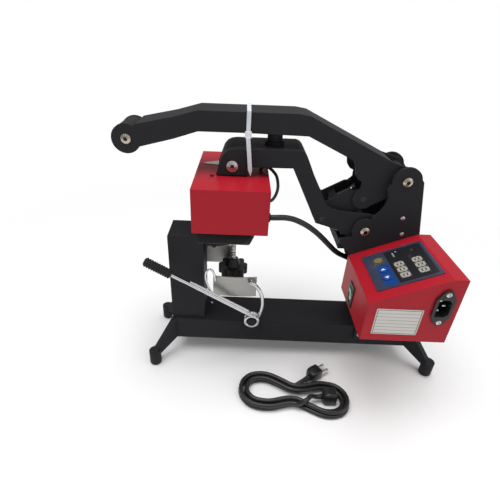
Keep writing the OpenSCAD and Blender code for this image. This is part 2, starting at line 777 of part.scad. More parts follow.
// The rocker: a shallow V outside, a round keel on its axis inside.
rocker_w = 10.5;
rocker_h = 21.5;
rocker_axis_x = box_x0 + 4;
module rocker_switch() {
    color([0.1, 0.5, 0.25]) placed() intersection() {
        slab_x = [[rocker_axis_x - 7.6, rocker_h / 2], [rocker_axis_x - 5.2, 0], [rocker_axis_x - 4.8, -rocker_h / 2],
            [rocker_axis_x - 1, -rocker_h / 2], [rocker_axis_x + 3, -4], [rocker_axis_x + 3, 4],
            [rocker_axis_x - 1, rocker_h / 2]];
        slab(switch_y - rocker_w / 2, switch_y + rocker_w / 2) translate([0, switch_z]) polygon(slab_x);
        bar_y(rocker_axis_x, switch_z, rocker_h / 2 + 0.35, switch_y - 20, switch_y + 20);
    }
}

// The gland that passes the head cable through the near side plate.
module cable_gland() {
    color(black) placed() difference() {
        union() {
            bar_y(gland_x, gland_z, gland_r, box_y1 - 4, -side_y0 + 6);
            bar_y(gland_x, gland_z, gland_r + 2.5, -side_y0, -side_y0 + 3);
        }
        bar_y(gland_x, gland_z, cable_d / 2 + 0.05, box_y1 - 5, -side_y0 + 7);
    }
}

// The cable from the head to the control box.
head_cable_route = [[46.8, -42, 258], [56, -42, 258], [68, -40, 257.6], [80, -38, 255], [92, -36, 249.5],
    [103, -34, 242.5], [113, -32, 234.5], [122, -30, 226], [130, -27.5, 217.5], [138, -24, 208.5],
    [146, -19.5, 199.5], [154, -14, 191.5], [162, -8.5, 185], [170, -5, 180], [179, -4.5, 176],
    [185.8, -8, 173.4], [190.2, -14.5, 172.2], [191.8, -20.5, 172], [192, -23, 172], [192, -28, 172],
    [192, -34, 172]];
module head_cable() {
    color(rubber) placed() tube(head_cable_route, cable_d / 2, 12);
}

head_gland_y = head_cable_route[0][1];
head_gland_z = head_cable_route[0][2];
module head_gland() {
    color(rubber) placed() translate([head_l / 2, head_gland_y, head_gland_z]) rotate([0, 90, 0]) difference() {
        union() {
            translate([0, 0, -head_t - 1.5]) cylinder(h = head_t + 1.5 + 4, r = 6);
            translate([0, 0, 0]) cylinder(h = 2, r = 8);
        }
        translate([0, 0, 0.3]) cylinder(h = 10, r = cable_d / 2 + 0.45);
    }
}

// The loose mains lead, folded into a waisted hank on the floor.
// The outline is an oval drawn in at its middle.
hank_at = [101, -112];
hank_turn = -7;
hank_c = 56;
hank_e = 58.7;
hank_turns = 3.5;
hank_start = 100;
hank_step = lead_d + 1.9;
hank_layer = lead_d + 0.9;
hank_rings = 24;
function oval_r(a) = sqrt(pow(hank_c, 2) * cos(2 * a)
    + sqrt(pow(hank_e, 4) - pow(hank_c, 4) * pow(sin(2 * a), 2)));
function oval(a) = oval_r(a) * [cos(a), sin(a)];
function oval_in(a, s) = let (t = unit(oval(a + 0.5) - oval(a - 0.5))) oval(a) + s * [-t[1], t[0]];
// Turns 0 to 1.5 spiral in, the next half turn climbs, the rest spiral out.
function hank_inset(t) = t < 1.5 ? t * hank_step : t < 2 ? 1.5 * hank_step : (hank_turns - t) * hank_step;
function hank_rise(t) = t < 1.5 ? 0 : t < 2 ? (1 - cos((t - 1.5) * 360)) / 2 : 1;
function hank_point(t) = let (q = oval_in(t * 360 + hank_start, hank_inset(t)))
    [q[0], q[1], lead_d / 2 + hank_rise(t) * hank_layer];
plug_tail = [[15.5, 31, 5], [11, 27.2, 5], [6, 23.2, 4], [2, 20, lead_d / 2]];
connector_tail = [[8.5, -18.2, 14], [13.5, -17, 18.3], [17.5, -13.8, 19.2], [20.5, -9.5, 18.6],
    [23.5, -5.5, 16], [27.5, -2.8, 12.6], [31, -1.6, 11.5], [35, -0.8, 11.5]];
hank_path = concat(plug_tail, [for (i = [0:hank_turns * hank_rings]) hank_point(i / hank_rings)], connector_tail);
hank_gap = min([for (i = [0:len(hank_path) - 1], j = [0:len(hank_path) - 1]) if (j > i + hank_rings / 3)
    norm(hank_path[i] - hank_path[j])]) - lead_d;
echo(least_gap_in_hank = hank_gap);
function path_length(p) = [for (i = [1:len(p) - 1]) norm(p[i] - p[i - 1])] * [for (i = [1:len(p) - 1]) 1];
echo(mains_lead_length = path_length(hank_path), head_cable_length = path_length(head_cable_route));

module in_hank() {
    placed() translate([hank_at[0], hank_at[1], 0]) rotate([0, 0, hank_turn]) children();
}

module mains_lead() {
    color(rubber) in_hank() tube(hank_path, lead_d / 2, 6);
}

// The connector that plugs into the press, lying on its side in the hank.
module lead_connector() {
    s = hank_path[len(hank_path) - 1];
    t = s - hank_path[len(hank_path) - 2];
    color(rubber) in_hank() translate([s[0], s[1], 0]) rotate([0, 0, atan2(t[1], t[0])]) {
        translate([0, 0, s[2]]) rotate([0, 90, 0]) cylinder(h = 6, r = lead_d / 2 + 1);
        block([5, -8, 0], [23.5, 8, 23]);
    }
}

// The mains plug at the other end, beside the waist of the hank.
module lead_plug() {
    s = hank_path[0];
    t = s - hank_path[1];
    color(rubber) in_hank() translate([s[0], s[1], 0]) rotate([0, 0, atan2(t[1], t[0])]) {
        translate([0, 0, s[2]]) rotate([0, 90, 0]) cylinder(h = 10, r = lead_d / 2 + 1);
        block([8, -9, 0], [27, 9, 18]);
        for (y = [-5, 5]) translate([26.5, y, 9]) rotate([0, 90, 0]) cylinder(h = 15.5, r = 2.2);
    }
}

// Part of a round arch over the saddle, cut to its plan.
module arch(r0, r1, a, x0, l, corner, w) {
    intersection() {
        translate([x0, 0, arc_z]) rotate([0, 90, 0]) linear_extrude(l) difference() {
            circle(r1, $fn = 128);
            circle(r0, $fn = 128);
            polygon([[0, 0], [200 * -cos(a), 200 * sin(a)], [200, 300], [200, -300],
                [200 * -cos(a), -200 * sin(a)]]);
        }
        translate([x0, 0, 0]) linear_extrude(arc_z + r1 + 10) arch_plan(l, w, corner);
    }
}

// Plan of an arch: square at the handle side, round at the hinge side.
module arch_plan(l, w, corner) {
    translate([-1, -w - 1]) square([l - corner + 1, 2 * w + 2]);
    translate([l - corner - 0.5, -w + corner]) square([corner + 0.5, 2 * (w - corner)]);
    for (s = [-1, 1]) translate([l - corner, s * (w - corner)]) circle(corner);
}

module saddle_pad() {
    color([0.12, 0.12, 0.12]) placed() arch(arch_r + bond, pad_r, saddle_a, saddle_x0, saddle_l, saddle_corner,
        pad_r * sin(saddle_a) + 1);
}

module saddle_plate() {
    color(black) placed() arch(arch_r - saddle_t, arch_r, saddle_a, saddle_x0, saddle_l, saddle_corner,
        arch_r * sin(saddle_a) + 1);
}

// The frame under the saddle plate: a base, two ribs and two guide pins.
rib_t = 4;
rib_y = 34;
module saddle_base() {
    r0 = arch_r - saddle_t;
    color(black) placed() difference() {
        union() {
            block([saddle_x0 + 6, -rib_y, saddle_base_z], [saddle_x0 + saddle_l - 10, rib_y,
                saddle_base_z + saddle_base_t]);
            for (x = [saddle_x0 + 6, saddle_x0 + saddle_l - 10 - rib_t]) intersection() {
                block([x, -rib_y, saddle_base_z], [x + rib_t, rib_y, arc_z + r0 + 1]);
                translate([x - 1, 0, arc_z]) rotate([0, 90, 0]) cylinder(h = rib_t + 2, r = r0 - bond, $fn = 128);
            }
            translate([screw_x, 0, saddle_base_z - 5]) cylinder(h = 5.5, r = 8);
            for (s = [-1, 1]) translate([guide_x, s * guide_y, bracket_top - bracket_t - guide_tail])
                cylinder(h = saddle_base_z - bracket_top + bracket_t + guide_tail + 0.5, r = guide_r);
        }
        translate([screw_x, 0, saddle_base_z - 6]) cylinder(h = 5.7, r = screw_d / 2 + 0.15);
    }
}

module pressure_screw() {
    color(silver) placed() translate([screw_x, 0, 0]) {
        translate([0, 0, knob_z0 + 2]) cylinder(h = screw_tip_z - knob_z0 - 2.3, r = screw_d / 2);
    }
}

module star_knob() {
    lobe = 5;
    color(rubber) placed() translate([screw_x, 0, knob_z0]) difference() {
        union() {
            linear_extrude(knob_h) {
                circle(knob_r - lobe + 0.8);
                for (i = [0:knob_lobes - 1]) rotate(360 * i / knob_lobes)
                    translate([knob_r - lobe, 0]) circle(lobe);
            }
            translate([0, 0, knob_h - 0.5]) cylinder(h = hub_h + 0.5, r1 = 12, r2 = 7, $fn = 64);
        }
        translate([0, 0, 2]) cylinder(h = knob_h + hub_h, r = screw_d / 2);
    }
}

head_x0 = -head_l / 2;
head_x1 = head_l / 2;
module head_cover() {
    color(red) placed() difference() {
        block([head_x0, -head_w / 2, head_z0], [head_x1, head_w / 2, head_top]);
        block([head_x0 + head_t, -head_w / 2 + head_t, head_z0 - 1],
            [head_x1 - head_t, head_w / 2 - head_t, head_top - head_t]);
        for (p = hanger_points) translate([p[0], p[1], head_top - 5]) cylinder(h = 10, r = hanger_screw_r + 0.2);
        translate([head_x1 - 5, head_gland_y, head_gland_z]) rotate([0, 90, 0]) cylinder(h = 10, r = 6.1);
        translate([head_x1 - 5, sensor_y, sensor_z]) rotate([0, 90, 0]) cylinder(h = 10, r = sensor_d / 2 + 0.4);
        translate([head_x1 - 10, sensor_y + 28, head_top - 5]) cylinder(h = 10, r = sensor_d / 2 + 0.4);
    }
}

// The heated platen: a curved casting with four bosses on its back.
boss_x = 24;
boss_y = 17;
boss_r = 5;
platen_fit = 2.5;
platen_w = head_w / 2 - head_t - platen_fit;
module heater_platen() {
    color([0.72, 0.72, 0.72]) placed() difference() {
        union() {
            arch(platen_r, platen_r + platen_t, platen_a, platen_x0, platen_l, 14, platen_w);
            for (p = hanger_points) translate([p[0], p[1], arc_z + platen_r + platen_t - 4])
                cylinder(h = head_top - head_t - arc_z - platen_r - platen_t + 4, r = boss_r);
        }
        for (p = hanger_points) translate([p[0], p[1], head_top - 14]) cylinder(h = 20, r = hanger_screw_r + 0.02);
    }
}

// A flat curved heating mat bonded to the back of the platen.
mat_t = 2;
mat_a = 38;
module heating_element() {
    r0 = platen_r + platen_t + bond;
    color([0.65, 0.55, 0.35]) placed() difference() {
        arch(r0, r0 + mat_t, mat_a, platen_x0 + 6, platen_l - 12, 10, (r0 + mat_t) * sin(mat_a) + 1);
        for (p = hanger_points) translate([p[0], p[1], 0]) cylinder(h = head_top, r = boss_r + 0.5);
    }
}

module insulation_pad() {
    z0 = arc_z + platen_r + platen_t + mat_t + 1;
    pad_half = head_w / 2 - 25;
    color([0.85, 0.85, 0.8]) placed() difference() {
        block([head_x0 + 6, -pad_half, z0], [head_x1 - 6, pad_half, head_top - head_t]);
        for (p = hanger_points) translate([p[0], p[1], 0]) cylinder(h = head_top, r = boss_r + 0.5);
    }
}

// The hanger bolted on the head: a base and two ears for the head pin.
hanger_t = 3;
hanger_x = 19;
hanger_y1 = 23.5;
hanger_ear_r = 10;
hanger_screw_r = 2.5;
hanger_points = [[-13, -14], [13, -14], [-13, 14], [13, 14]];
module head_hanger() {
    color(black) placed() difference() {
        union() {
            block([-hanger_x, -hanger_y1, head_top], [hanger_x, hanger_y1, head_top + hanger_t]);
            pair(hanger_y1 - hanger_t, hanger_y1) {
                translate([0, head_pin_z]) circle(hanger_ear_r);
                translate([-hanger_ear_r, head_top]) square([2 * hanger_ear_r, head_pin_z - head_top]);
            }
        }
        bar_y(0, head_pin_z, arm_pin_d / 2 + run_fit, -beam_w, beam_w);
        for (p = hanger_points) translate([p[0], p[1], head_top - 1])
            cylinder(h = 10, r = hanger_screw_r + 0.2);
    }
}

module hanger_screws() {
    color(silver) placed() for (p = hanger_points) translate([p[0], p[1], head_top + hanger_t])
        screw(hanger_screw_r, hanger_t + head_t + 8, 4.4, 2.6);
}

// The short lead of the temperature sensor, looped out of the head.
sensor_d = 4;
sensor_y = -28;
sensor_z = 274;
sensor_route = [[head_x1 - 4, sensor_y, sensor_z], [head_x1 + 1, sensor_y, sensor_z],
    [head_x1 + 6, sensor_y + 1, sensor_z + 2], [head_x1 + 10, sensor_y + 4, sensor_z + 7],
    [head_x1 + 12.5, sensor_y + 8, sensor_z + 14], [head_x1 + 12.5, sensor_y + 13, sensor_z + 21],
    [head_x1 + 10.5, sensor_y + 18, sensor_z + 28], [head_x1 + 6, sensor_y + 22, sensor_z + 33],
    [head_x1 + 0.5, sensor_y + 25, sensor_z + 36.5], [head_x1 - 4.5, sensor_y + 26.5, sensor_z + 37],
    [head_x1 - 8.6, sensor_y + 27.5, sensor_z + 35.4], [head_x1 - 10, sensor_y + 28, sensor_z + 32.4],
    [head_x1 - 10, sensor_y + 28, sensor_z + 30.9]];
module sensor_lead() {
    color(rubber) placed() tube(sensor_route, sensor_d / 2, 8);
}

// Outline of the arm in X and Z.
nose_x = 20;
module arm_outline() {
    polygon([[-nose_x, head_top + 1.8], [nose_x, head_top + 1.8], [nose_x, arm_top_z - 22.5],
        [75, arm_top_z - 22], [pivot_e[0] - 8, pivot_e[1] - 6.4], [pivot_e[0] + 21, pivot_e[1] - 15],
        [pivot_a[0] - 24, heel_line_z - 0.6], [pivot_a[0] - 6, pivot_a[1] - 21.2], [pivot_a[0], pivot_a[1]],
        [pivot_a[0] + 5, pivot_a[1] + 21.4], [pivot_a[0] - 17, pivot_a[1] + 23.2],
        [pivot_a[0] - 37, pivot_a[1] + 25.3], [pivot_a[0] - 46, pivot_a[1] + 28],
        [pivot_a[0] - 52.5, pivot_a[1] + 32], [pivot_a[0] - 56.5, pivot_a[1] + 37.5],
        [pivot_a[0] - 64, pivot_a[1] + 52], [101.5, arm_top_z - 29], [94, arm_top_z - 13], [90.5, arm_top_z - 6],
        [87, arm_top_z - 2], [82, arm_top_z], [4, arm_top_z], [-2.5, arm_top_z - 1], [-8, arm_top_z - 4],
        [-12, arm_top_z - 9], [-15, arm_top_z - 17]]);
    translate(pivot_a) circle(22);
}

module arm_frame() {
    color(black) placed() difference() {
        union() {
            difference() {
                slab(-arm_y1, arm_y1) arm_outline();
                slab(-arm_y0, arm_y0) difference() {
                    translate([-60, 150]) square([300, 250]);
                    // what stays of the top web
                    intersection() {
                        arm_outline();
                        polygon([[-30, arm_top_z - 22], [-10.5, arm_top_z - 22], [-8.5, arm_top_z - 12],
                            [-4.5, arm_top_z - 6.5], [0.5, arm_top_z - 3.8], [6, arm_t * -1 + arm_top_z],
                            [81, arm_top_z - arm_t], [85, arm_top_z - 4.6], [88.5, arm_top_z - 9],
                            [98, arm_top_z - 4], [98, arm_top_z + 5], [-30, arm_top_z + 5]]);
                    }
                }
            }
            // heel web that meets the stop screw
            block([stop_x - 4.5, -arm_y1, heel_line_z], [stop_x + 12, arm_y1, heel_line_z + arm_t]);
            bar_y(pivot_a[0], pivot_a[1], shaft_r + 5, -arm_y1, arm_y1);
        }
        bar_y(pivot_a[0], pivot_a[1], shaft_r + run_fit, -beam_w, beam_w);
        bar_y(pivot_e[0], pivot_e[1], link_pin_d / 2 + 0.02, -beam_w, beam_w);
        bar_y(0, head_pin_z, arm_pin_d / 2 + 0.02, -beam_w, beam_w);
    }
}

bumper_x = 52;
handle_low_z = handle_top_z - handle_d;
module rubber_bumper() {
    color(rubber) placed() translate([bumper_x, 0, arm_top_z]) {
        cylinder(h = 4, r = bumper_r + 2.5);
        translate([0, 0, 3.5]) cylinder(h = handle_low_z - arm_top_z - 3.5 - seat_gap, r = bumper_r);
    }
}

module arm_pins() {
    color(silver) placed() {
        bar_y(pivot_e[0], pivot_e[1], link_pin_d / 2, -arm_y1, arm_y1);
        bar_y(0, head_pin_z, arm_pin_d / 2, -arm_y1, arm_y1);
        for (s = [-1, 1]) {
            translate([0, s * arm_y1, head_pin_z]) rotate([-90 * s, 0, 0]) screw(1, 1, 7, 3);
            translate([pivot_e[0], s * arm_y1, pivot_e[1]]) rotate([-90 * s, 0, 0]) screw(1, 1, 3.6, 1.2);
        }
    }
}

// Outline of the handle in X and Z.
grip_c = [-handle_reach, handle_top_z - 35.5];
handle_bend_x = 90;
web_end_x = 196;
handle_slope = 0.478;
function slope_top(x) = handle_top_z - 2.5 - (x - handle_bend_x) * handle_slope;
module handle_outline() {
    polygon([[grip_c[0] + 6, grip_c[1] - handle_end_r + 1], [grip_c[0] + 14, grip_c[1] - 9.6],
        [-71, handle_low_z - 9.5], [-42, handle_low_z], [14, handle_low_z],
        [handle_bend_x, handle_low_z - 1.5], [142, handle_low_z - 26], [148, handle_low_z - 29.5],
        [151, handle_low_z - 34], [152, handle_low_z - 39.5], [153.5, handle_low_z - 47],
        [158, handle_low_z - 53], [pivot_c[0] - 6, pivot_c[1] + 23], [pivot_c[0] - 5.7, pivot_c[1] + 14.5],
        [pivot_c[0] - 8, pivot_c[1] + 11], [pivot_c[0] - 14, pivot_c[1]], [pivot_c[0], pivot_c[1]],
        [pivot_c[0] + 10, pivot_c[1] - 9.5], [pivot_b[0] + 9, pivot_b[1] - 12], pivot_b,
        [pivot_b[0] + 4, pivot_b[1] + 14], [web_end_x, slope_top(web_end_x)],
        [handle_bend_x, slope_top(handle_bend_x)], [handle_bend_x - 14, handle_top_z - 0.3],
        [-42, handle_top_z], [-73, handle_top_z - 8.7], [-117, handle_top_z - 18], [grip_c[0], grip_c[1]]]);
    translate(grip_c) circle(handle_end_r);
    translate(pivot_b) circle(15);
    translate(pivot_c) circle(14);
}

module handle_frame() {
    color(black) placed() difference() {
        union() {
            difference() {
                slab(-handle_y1, handle_y1) handle_outline();
                slab(-handle_y0, handle_y0) difference() {
                    translate([-170, 200]) square([450, 250]);
                    // what stays of the top web
                    intersection() {
                        handle_outline();
                        polygon([[-117, handle_top_z - 18 - handle_t], [-73, handle_top_z - 8.9 - handle_t],
                            [-42, handle_top_z - handle_t], [handle_bend_x - 15, handle_top_z - handle_t],
                            [handle_bend_x - 1, slope_top(handle_bend_x) - handle_t],
                            [web_end_x, slope_top(web_end_x) - handle_t - 0.4],
                            [web_end_x, handle_top_z + 20], [-117, handle_top_z + 20]]);
                    }
                }
            }
            // striker plate over the bumper
            block([bumper_x - 17, -handle_y1, handle_low_z + 0.1], [bumper_x + 17, handle_y1, handle_low_z + 3]);
            bar_y(pivot_b[0], pivot_b[1], shaft_r + 4, -handle_y1, handle_y1);
        }
        bar_y(pivot_b[0], pivot_b[1], shaft_r + run_fit, -beam_w, beam_w);
        bar_y(pivot_c[0], pivot_c[1], arm_pin_d / 2 + 0.02, -beam_w, beam_w);
        bar_y(grip_c[0], grip_c[1], grip_rod_r + 0.02, -beam_w, beam_w);
    }
}

grip_rod_r = 4;
module grip_sleeve() {
    color(rubber) placed() difference() {
        bar_y(grip_c[0], grip_c[1], grip_r, -handle_y0 + 0.2, handle_y0 - 0.2);
        bar_y(grip_c[0], grip_c[1], grip_rod_r + 0.05, -beam_w, beam_w);
    }
}

module handle_pins() {
    color(silver) placed() {
        bar_y(grip_c[0], grip_c[1], grip_rod_r, -handle_y1, handle_y1);
        for (s = [-1, 1]) translate([grip_c[0], s * handle_y1, grip_c[1]]) rotate([-90 * s, 0, 0])
            screw(1, 1, 6, 3);
        bar_y(pivot_c[0], pivot_c[1], arm_pin_d / 2, -handle_y1 - 0.5, handle_y1 + 0.5);
    }
}

// A cable tie round the handle with its tail hanging down.
tie_x = 18;
tie_w = 5;
tie_t = 1.2;
module cable_tie() {
    z0 = handle_low_z - seat_gap - tie_t;
    z1 = handle_top_z + seat_gap + tie_t;
    y = handle_y1 + seat_gap + tie_t;
    color([0.92, 0.92, 0.95]) placed() {
        difference() {
            block([tie_x - tie_w / 2, -y, z0], [tie_x + tie_w / 2, y, z1]);
            block([tie_x - tie_w, -y + tie_t, z0 + tie_t], [tie_x + tie_w, y - tie_t, z1 - tie_t]);
        }
        block([tie_x - tie_w / 2 - 1.5, -y - 4, z0 - 3], [tie_x + tie_w / 2 + 1.5, -y + 0.01, z0 + 4]);
        slab(-y - 8, -y - 8 + tie_t) translate([tie_x, 0]) polygon([[-tie_w / 2, z0 - 2], [tie_w / 2, z0 - 2],
            [tie_w / 2 + 4, z0 - 41], [5, z0 - 48.5], [-tie_w / 2 + 4, z0 - 41]]);
        block([tie_x - tie_w / 2, -y - 8, z0 - 3], [tie_x + tie_w / 2, -y - 3.9, z0 - 3 + tie_t]);
    }
}

// The link, drawn along its own axis from the arm pin to the handle pin.
module along_link() {
    translate(pivot_e) rotate(link_angle) children();
}

link_slot_r = link_pin_d / 2 + 1.9;
link_slot_drop = 1.3;
module link_outline() {
    along_link() {
        polygon([[-10, -6], [-10, 8], [2, 16.5], [link_l - 10, 16.5], [link_l, 12], [link_l, -12],
            [link_l - 12, -12], [12, -10.5], [-6, -10.5]]);
        translate([link_l, 0]) circle(12);
    }
}

module toggle_link() {
    color(black) placed() difference() {
        union() {
            pair(link_y0, link_y1) link_outline();
            slab(-link_y1, link_y1) along_link() polygon([[17, -10.8], [17, -7.8], [link_l - 14, -9],
                [link_l - 14, -12]]);
            slab(-link_y1, link_y1) along_link() translate([20, 2]) square([10, 12]);
        }
        slab(-beam_w, beam_w) along_link() {
            translate([0, -link_slot_r - link_slot_drop]) square([link_play, 2 * link_slot_r]);
            for (u = [0, link_play]) translate([u, -link_slot_drop]) circle(link_slot_r);
        }
        bar_y(pivot_c[0], pivot_c[1], arm_pin_d / 2 + run_fit, -beam_w, beam_w);
        in_link() rotate([0, 90, 0]) cylinder(h = 80, r = link_bolt_r + 0.02);
    }
}

// Moves the shape onto the axis of the adjusting bolt in the link.
link_bolt_r = 3;
module in_link() {
    translate([pivot_e[0], 0, pivot_e[1]]) rotate([0, -link_angle, 0]) translate([18, 0, 9]) children();
}

module link_bolt() {
    color(silver) placed() in_link() {
        rotate([0, 90, 0]) cylinder(h = link_l - 24, r = link_bolt_r);
        translate([link_l - 24.5, 0, 0]) rotate([0, 90, 0]) cylinder(h = 5, r = 5.2, $fn = 6);
    }
}

// The lever: rod, eye of two turns round the stud, and arm to the right hole of the band plate.
lever_a = 149.5;
rod_out = [cos(lever_a), sin(lever_a)];
coil_start = lever_a - 90;
rod_foot = [lever_pivot[0] + coil_r * cos(coil_start), lever_pivot[1] + coil_r * sin(coil_start)];
rod_l = lever_l - 3;
arm_y = lever_y + coil_pitch;
right_arm = [[lever_pivot[0] + eye_r * cos(23.5), arm_y, lever_pivot[1] + eye_r * sin(23.5)],
    [46.2, arm_y, 95], [48.6, arm_y, 104], [49.6, arm_y, 114], [49, arm_y, 124], [47, arm_y, 133],
    [43.6, arm_y, 141], [39, arm_y, 147.6], [36, arm_y, 150.2], [33, arm_y, 152], [31, arm_y + 0.54, 152.5],
    [29.54, arm_y + 2, 152.5], [29, arm_y + 4, 152.5], [29, arm_y + 10, 152.5]];
// A straight round bar between two points of the plane at y.
module bar_xz(a, b, y, r) {
    d = b - a;
    translate([a[0], y, a[1]]) rotate([0, 90 - atan2(d[1], d[0]), 0]) cylinder(h = norm(d), r = r);
}

// The eye: two closed turns of wire, welded together.
module lever_eye() {
    translate([lever_pivot[0], lever_y, lever_pivot[1]]) rotate([-90, 0, 0]) rotate_extrude() {
        for (h = [0, coil_pitch]) translate([eye_r, h]) circle(eye_wire_r);
        translate([eye_r - 1.2, 0]) square([2.4, coil_pitch]);
    }
}

module band_lever() {
    color(silver) placed() {
        bar_xz(rod_foot + rod_l * rod_out, rod_foot, lever_y, wire_d / 2);
        lever_eye();
        tube(right_arm, wire_d / 2, 10);
    }
}

function on_rod(k, up) = [rod_foot[0] + k * rod_out[0] + up * rod_out[1], rod_foot[1] + k * rod_out[1]
    - up * rod_out[0]];
stay_up = (wire_d + hook_d) / 2 + 0.1;
stay_ends = [for (k = [112, 14]) [on_rod(k, stay_up)[0], lever_y, on_rod(k, stay_up)[1]]];
hook_path = concat([for (k = [100, 90, 80, 74]) [on_rod(k, 0)[0], hook_y, on_rod(k, 0)[1]]],
    [[-26.5, hook_y, 137], [-30.5, hook_y, 147], [-33, hook_y, 156.5],
    [-33.2, hook_y, 165.5], [-31.2, hook_y, 172.2], [-27.4, hook_y, 174.8], [-23.6, hook_y, 172.6],
    [-21.2, hook_y, 167], [-20.2, hook_y, 160.5], [-20, hook_y, 156], [-20, hook_y + 1, 153.5],
    [-20, hook_y + 3.5, 152.5], [-20, hook_y + 11.25, 152.5]]);
module hook_wires() {
    color(silver) placed() {
        tube(hook_path, hook_d / 2, 8);
        tube(stay_ends, hook_d / 2, 8);
    }
}

module lever_grip() {
    a = on_rod(lever_l - lever_grip_l, 0);
    color(rubber) placed() translate([a[0], lever_y, a[1]]) rotate([0, 90 - lever_a, 0]) lever_grip_shape();
}

module lever_grip_shape() {
    difference() {
        rotate_extrude() {
            square([lever_grip_d / 2 - 1.2, lever_grip_l]);
            for (i = [0:7]) translate([0, 2 + i * (lever_grip_l - 6) / 7.2])
                square([lever_grip_d / 2, (lever_grip_l - 6) / 7.2 - 1.2]);
        }
        translate([0, 0, -1]) cylinder(h = lever_grip_l - 2, r = wire_d / 2 + 0.02);
    }
}

// The slightly curved band plate that hangs from the two wire ends.
band_x = 8;
band_y = arm_y + wire_d / 2 + 2.2;
band_holes = [[-20, hook_d / 2 + 0.45], [29, wire_d / 2 + 0.45]];
module band_plate() {
    color([0.6, 0.6, 0.6]) placed() difference() {
        intersection() {
            translate([band_x, band_y + band_r, band_top_z - band_h]) difference() {
                cylinder(h = band_h, r = band_r, $fn = 192);
                translate([0, 0, -1]) cylinder(h = band_h + 2, r = band_r - band_t, $fn = 192);
            }
            slab(band_y - 1, band_y + 20) translate([band_x, band_top_z - band_h / 2]) {
                round_rect(band_w, band_h, 3);
                translate([2, 0]) square([band_w - 4, band_h], center = true);
            }
        }
        for (h = band_holes) bar_y(h[0], band_pin_z, h[1], band_y - 5, band_y + 20);
    }
}

base_beam();
leg_yokes();
rubber_feet();
frame_bolts();
post();
near_side_plate();
far_side_plate();
back_channel();
arm_stop_bar();
arm_stop_screw();
pivot_bolts();
pivot_spacers();
post_side_plate();
saddle_bracket();
lever_lug();
lever_pivot_stud();
control_box_cover();
control_box_base();
panel_screws();
faceplate();
display_windows();
circuit_board();
inlet_socket();
inlet_pins();
switch_bezel();
cable_gland();
head_cable();
mains_lead();
lead_connector();
lead_plug();
saddle_plate();
saddle_pad();
saddle_base();
pressure_screw();
star_knob();
head_cover();
heater_platen();
heating_element();
insulation_pad();
head_hanger();
hanger_screws();
sensor_lead();
head_gland();
arm_frame();
rubber_bumper();
arm_pins();
handle_frame();
grip_sleeve();
handle_pins();
cable_tie();
toggle_link();
link_bolt();
band_lever();
hook_wires();
lever_grip();
band_plate();
rocker_switch();
set_button();
up_button();
down_button();
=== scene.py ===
"""Looks of the cap heat press: materials, cords, wires, panel parts and small trim."""

import math

import bpy
import bmesh
from mathutils import Matrix, Vector


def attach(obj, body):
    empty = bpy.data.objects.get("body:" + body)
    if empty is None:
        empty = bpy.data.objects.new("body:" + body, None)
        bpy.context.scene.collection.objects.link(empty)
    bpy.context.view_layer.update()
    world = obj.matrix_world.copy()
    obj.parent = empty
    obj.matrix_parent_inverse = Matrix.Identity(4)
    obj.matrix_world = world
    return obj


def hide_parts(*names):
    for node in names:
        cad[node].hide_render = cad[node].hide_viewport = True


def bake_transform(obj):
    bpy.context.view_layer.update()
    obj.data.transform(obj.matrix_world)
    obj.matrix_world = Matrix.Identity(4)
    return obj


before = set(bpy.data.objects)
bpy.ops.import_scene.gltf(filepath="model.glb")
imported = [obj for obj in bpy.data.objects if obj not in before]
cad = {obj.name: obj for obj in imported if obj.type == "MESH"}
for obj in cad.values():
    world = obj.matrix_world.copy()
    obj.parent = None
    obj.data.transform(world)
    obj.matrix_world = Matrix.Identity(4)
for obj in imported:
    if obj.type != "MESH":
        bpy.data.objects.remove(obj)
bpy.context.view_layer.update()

# The press is drawn in millimetres from the middle of its head; the frame's origin is elsewhere.
ORIGIN = Vector((88.0, -33.05, 0.0))


def at(x, y, z):
    """A point of the press, from drawing millimetres to metres in the frame."""
    return (Vector((x, y, z)) - ORIGIN) / 1000


def mm(value):
    """Drawing millimetres to metres."""
    return value / 1000


def mm_pairs(pairs):
    """Pairs of drawing millimetres to metres."""
    return [(mm(a), mm(b)) for a, b in pairs]


# ---------------------------------------------------------------- camera

# The lens, the axes and the place in metres come from a fit to the straight edges in the photo.
camera = bpy.data.objects.new("camera", bpy.data.cameras.new("camera"))
camera.data.lens = 26.85
camera.data.sensor_width = 36
camera.data.shift_x = 0.0294
camera.data.shift_y = -0.0112
right = (0.99920, 0.02952, 0.02688)
up = (-0.03817, 0.50892, 0.85997)
back = (0.01171, -0.86031, 0.50964)
stand = (-0.0752, -0.43795, 0.4703)
camera.matrix_world = Matrix([*zip(right, up, back, stand), (0, 0, 0, 1)])
bpy.context.scene.collection.objects.link(camera)
bpy.context.scene.camera = camera


# ---------------------------------------------------------------- node trees

class Wired:
    """A node's output, with the operators that add Math nodes to its tree."""

    def __init__(self, tree, out):
        self.tree, self.out = tree, out

    def __add__(self, other): return self.tree.math("ADD", self, other)
    def __radd__(self, other): return self.tree.math("ADD", other, self)
    def __sub__(self, other): return self.tree.math("SUBTRACT", self, other)
    def __rsub__(self, other): return self.tree.math("SUBTRACT", other, self)
    def __mul__(self, other): return self.tree.math("MULTIPLY", self, other)
    def __gt__(self, other): return self.tree.math("GREATER_THAN", self, other)
    def __lt__(self, other): return self.tree.math("LESS_THAN", self, other)


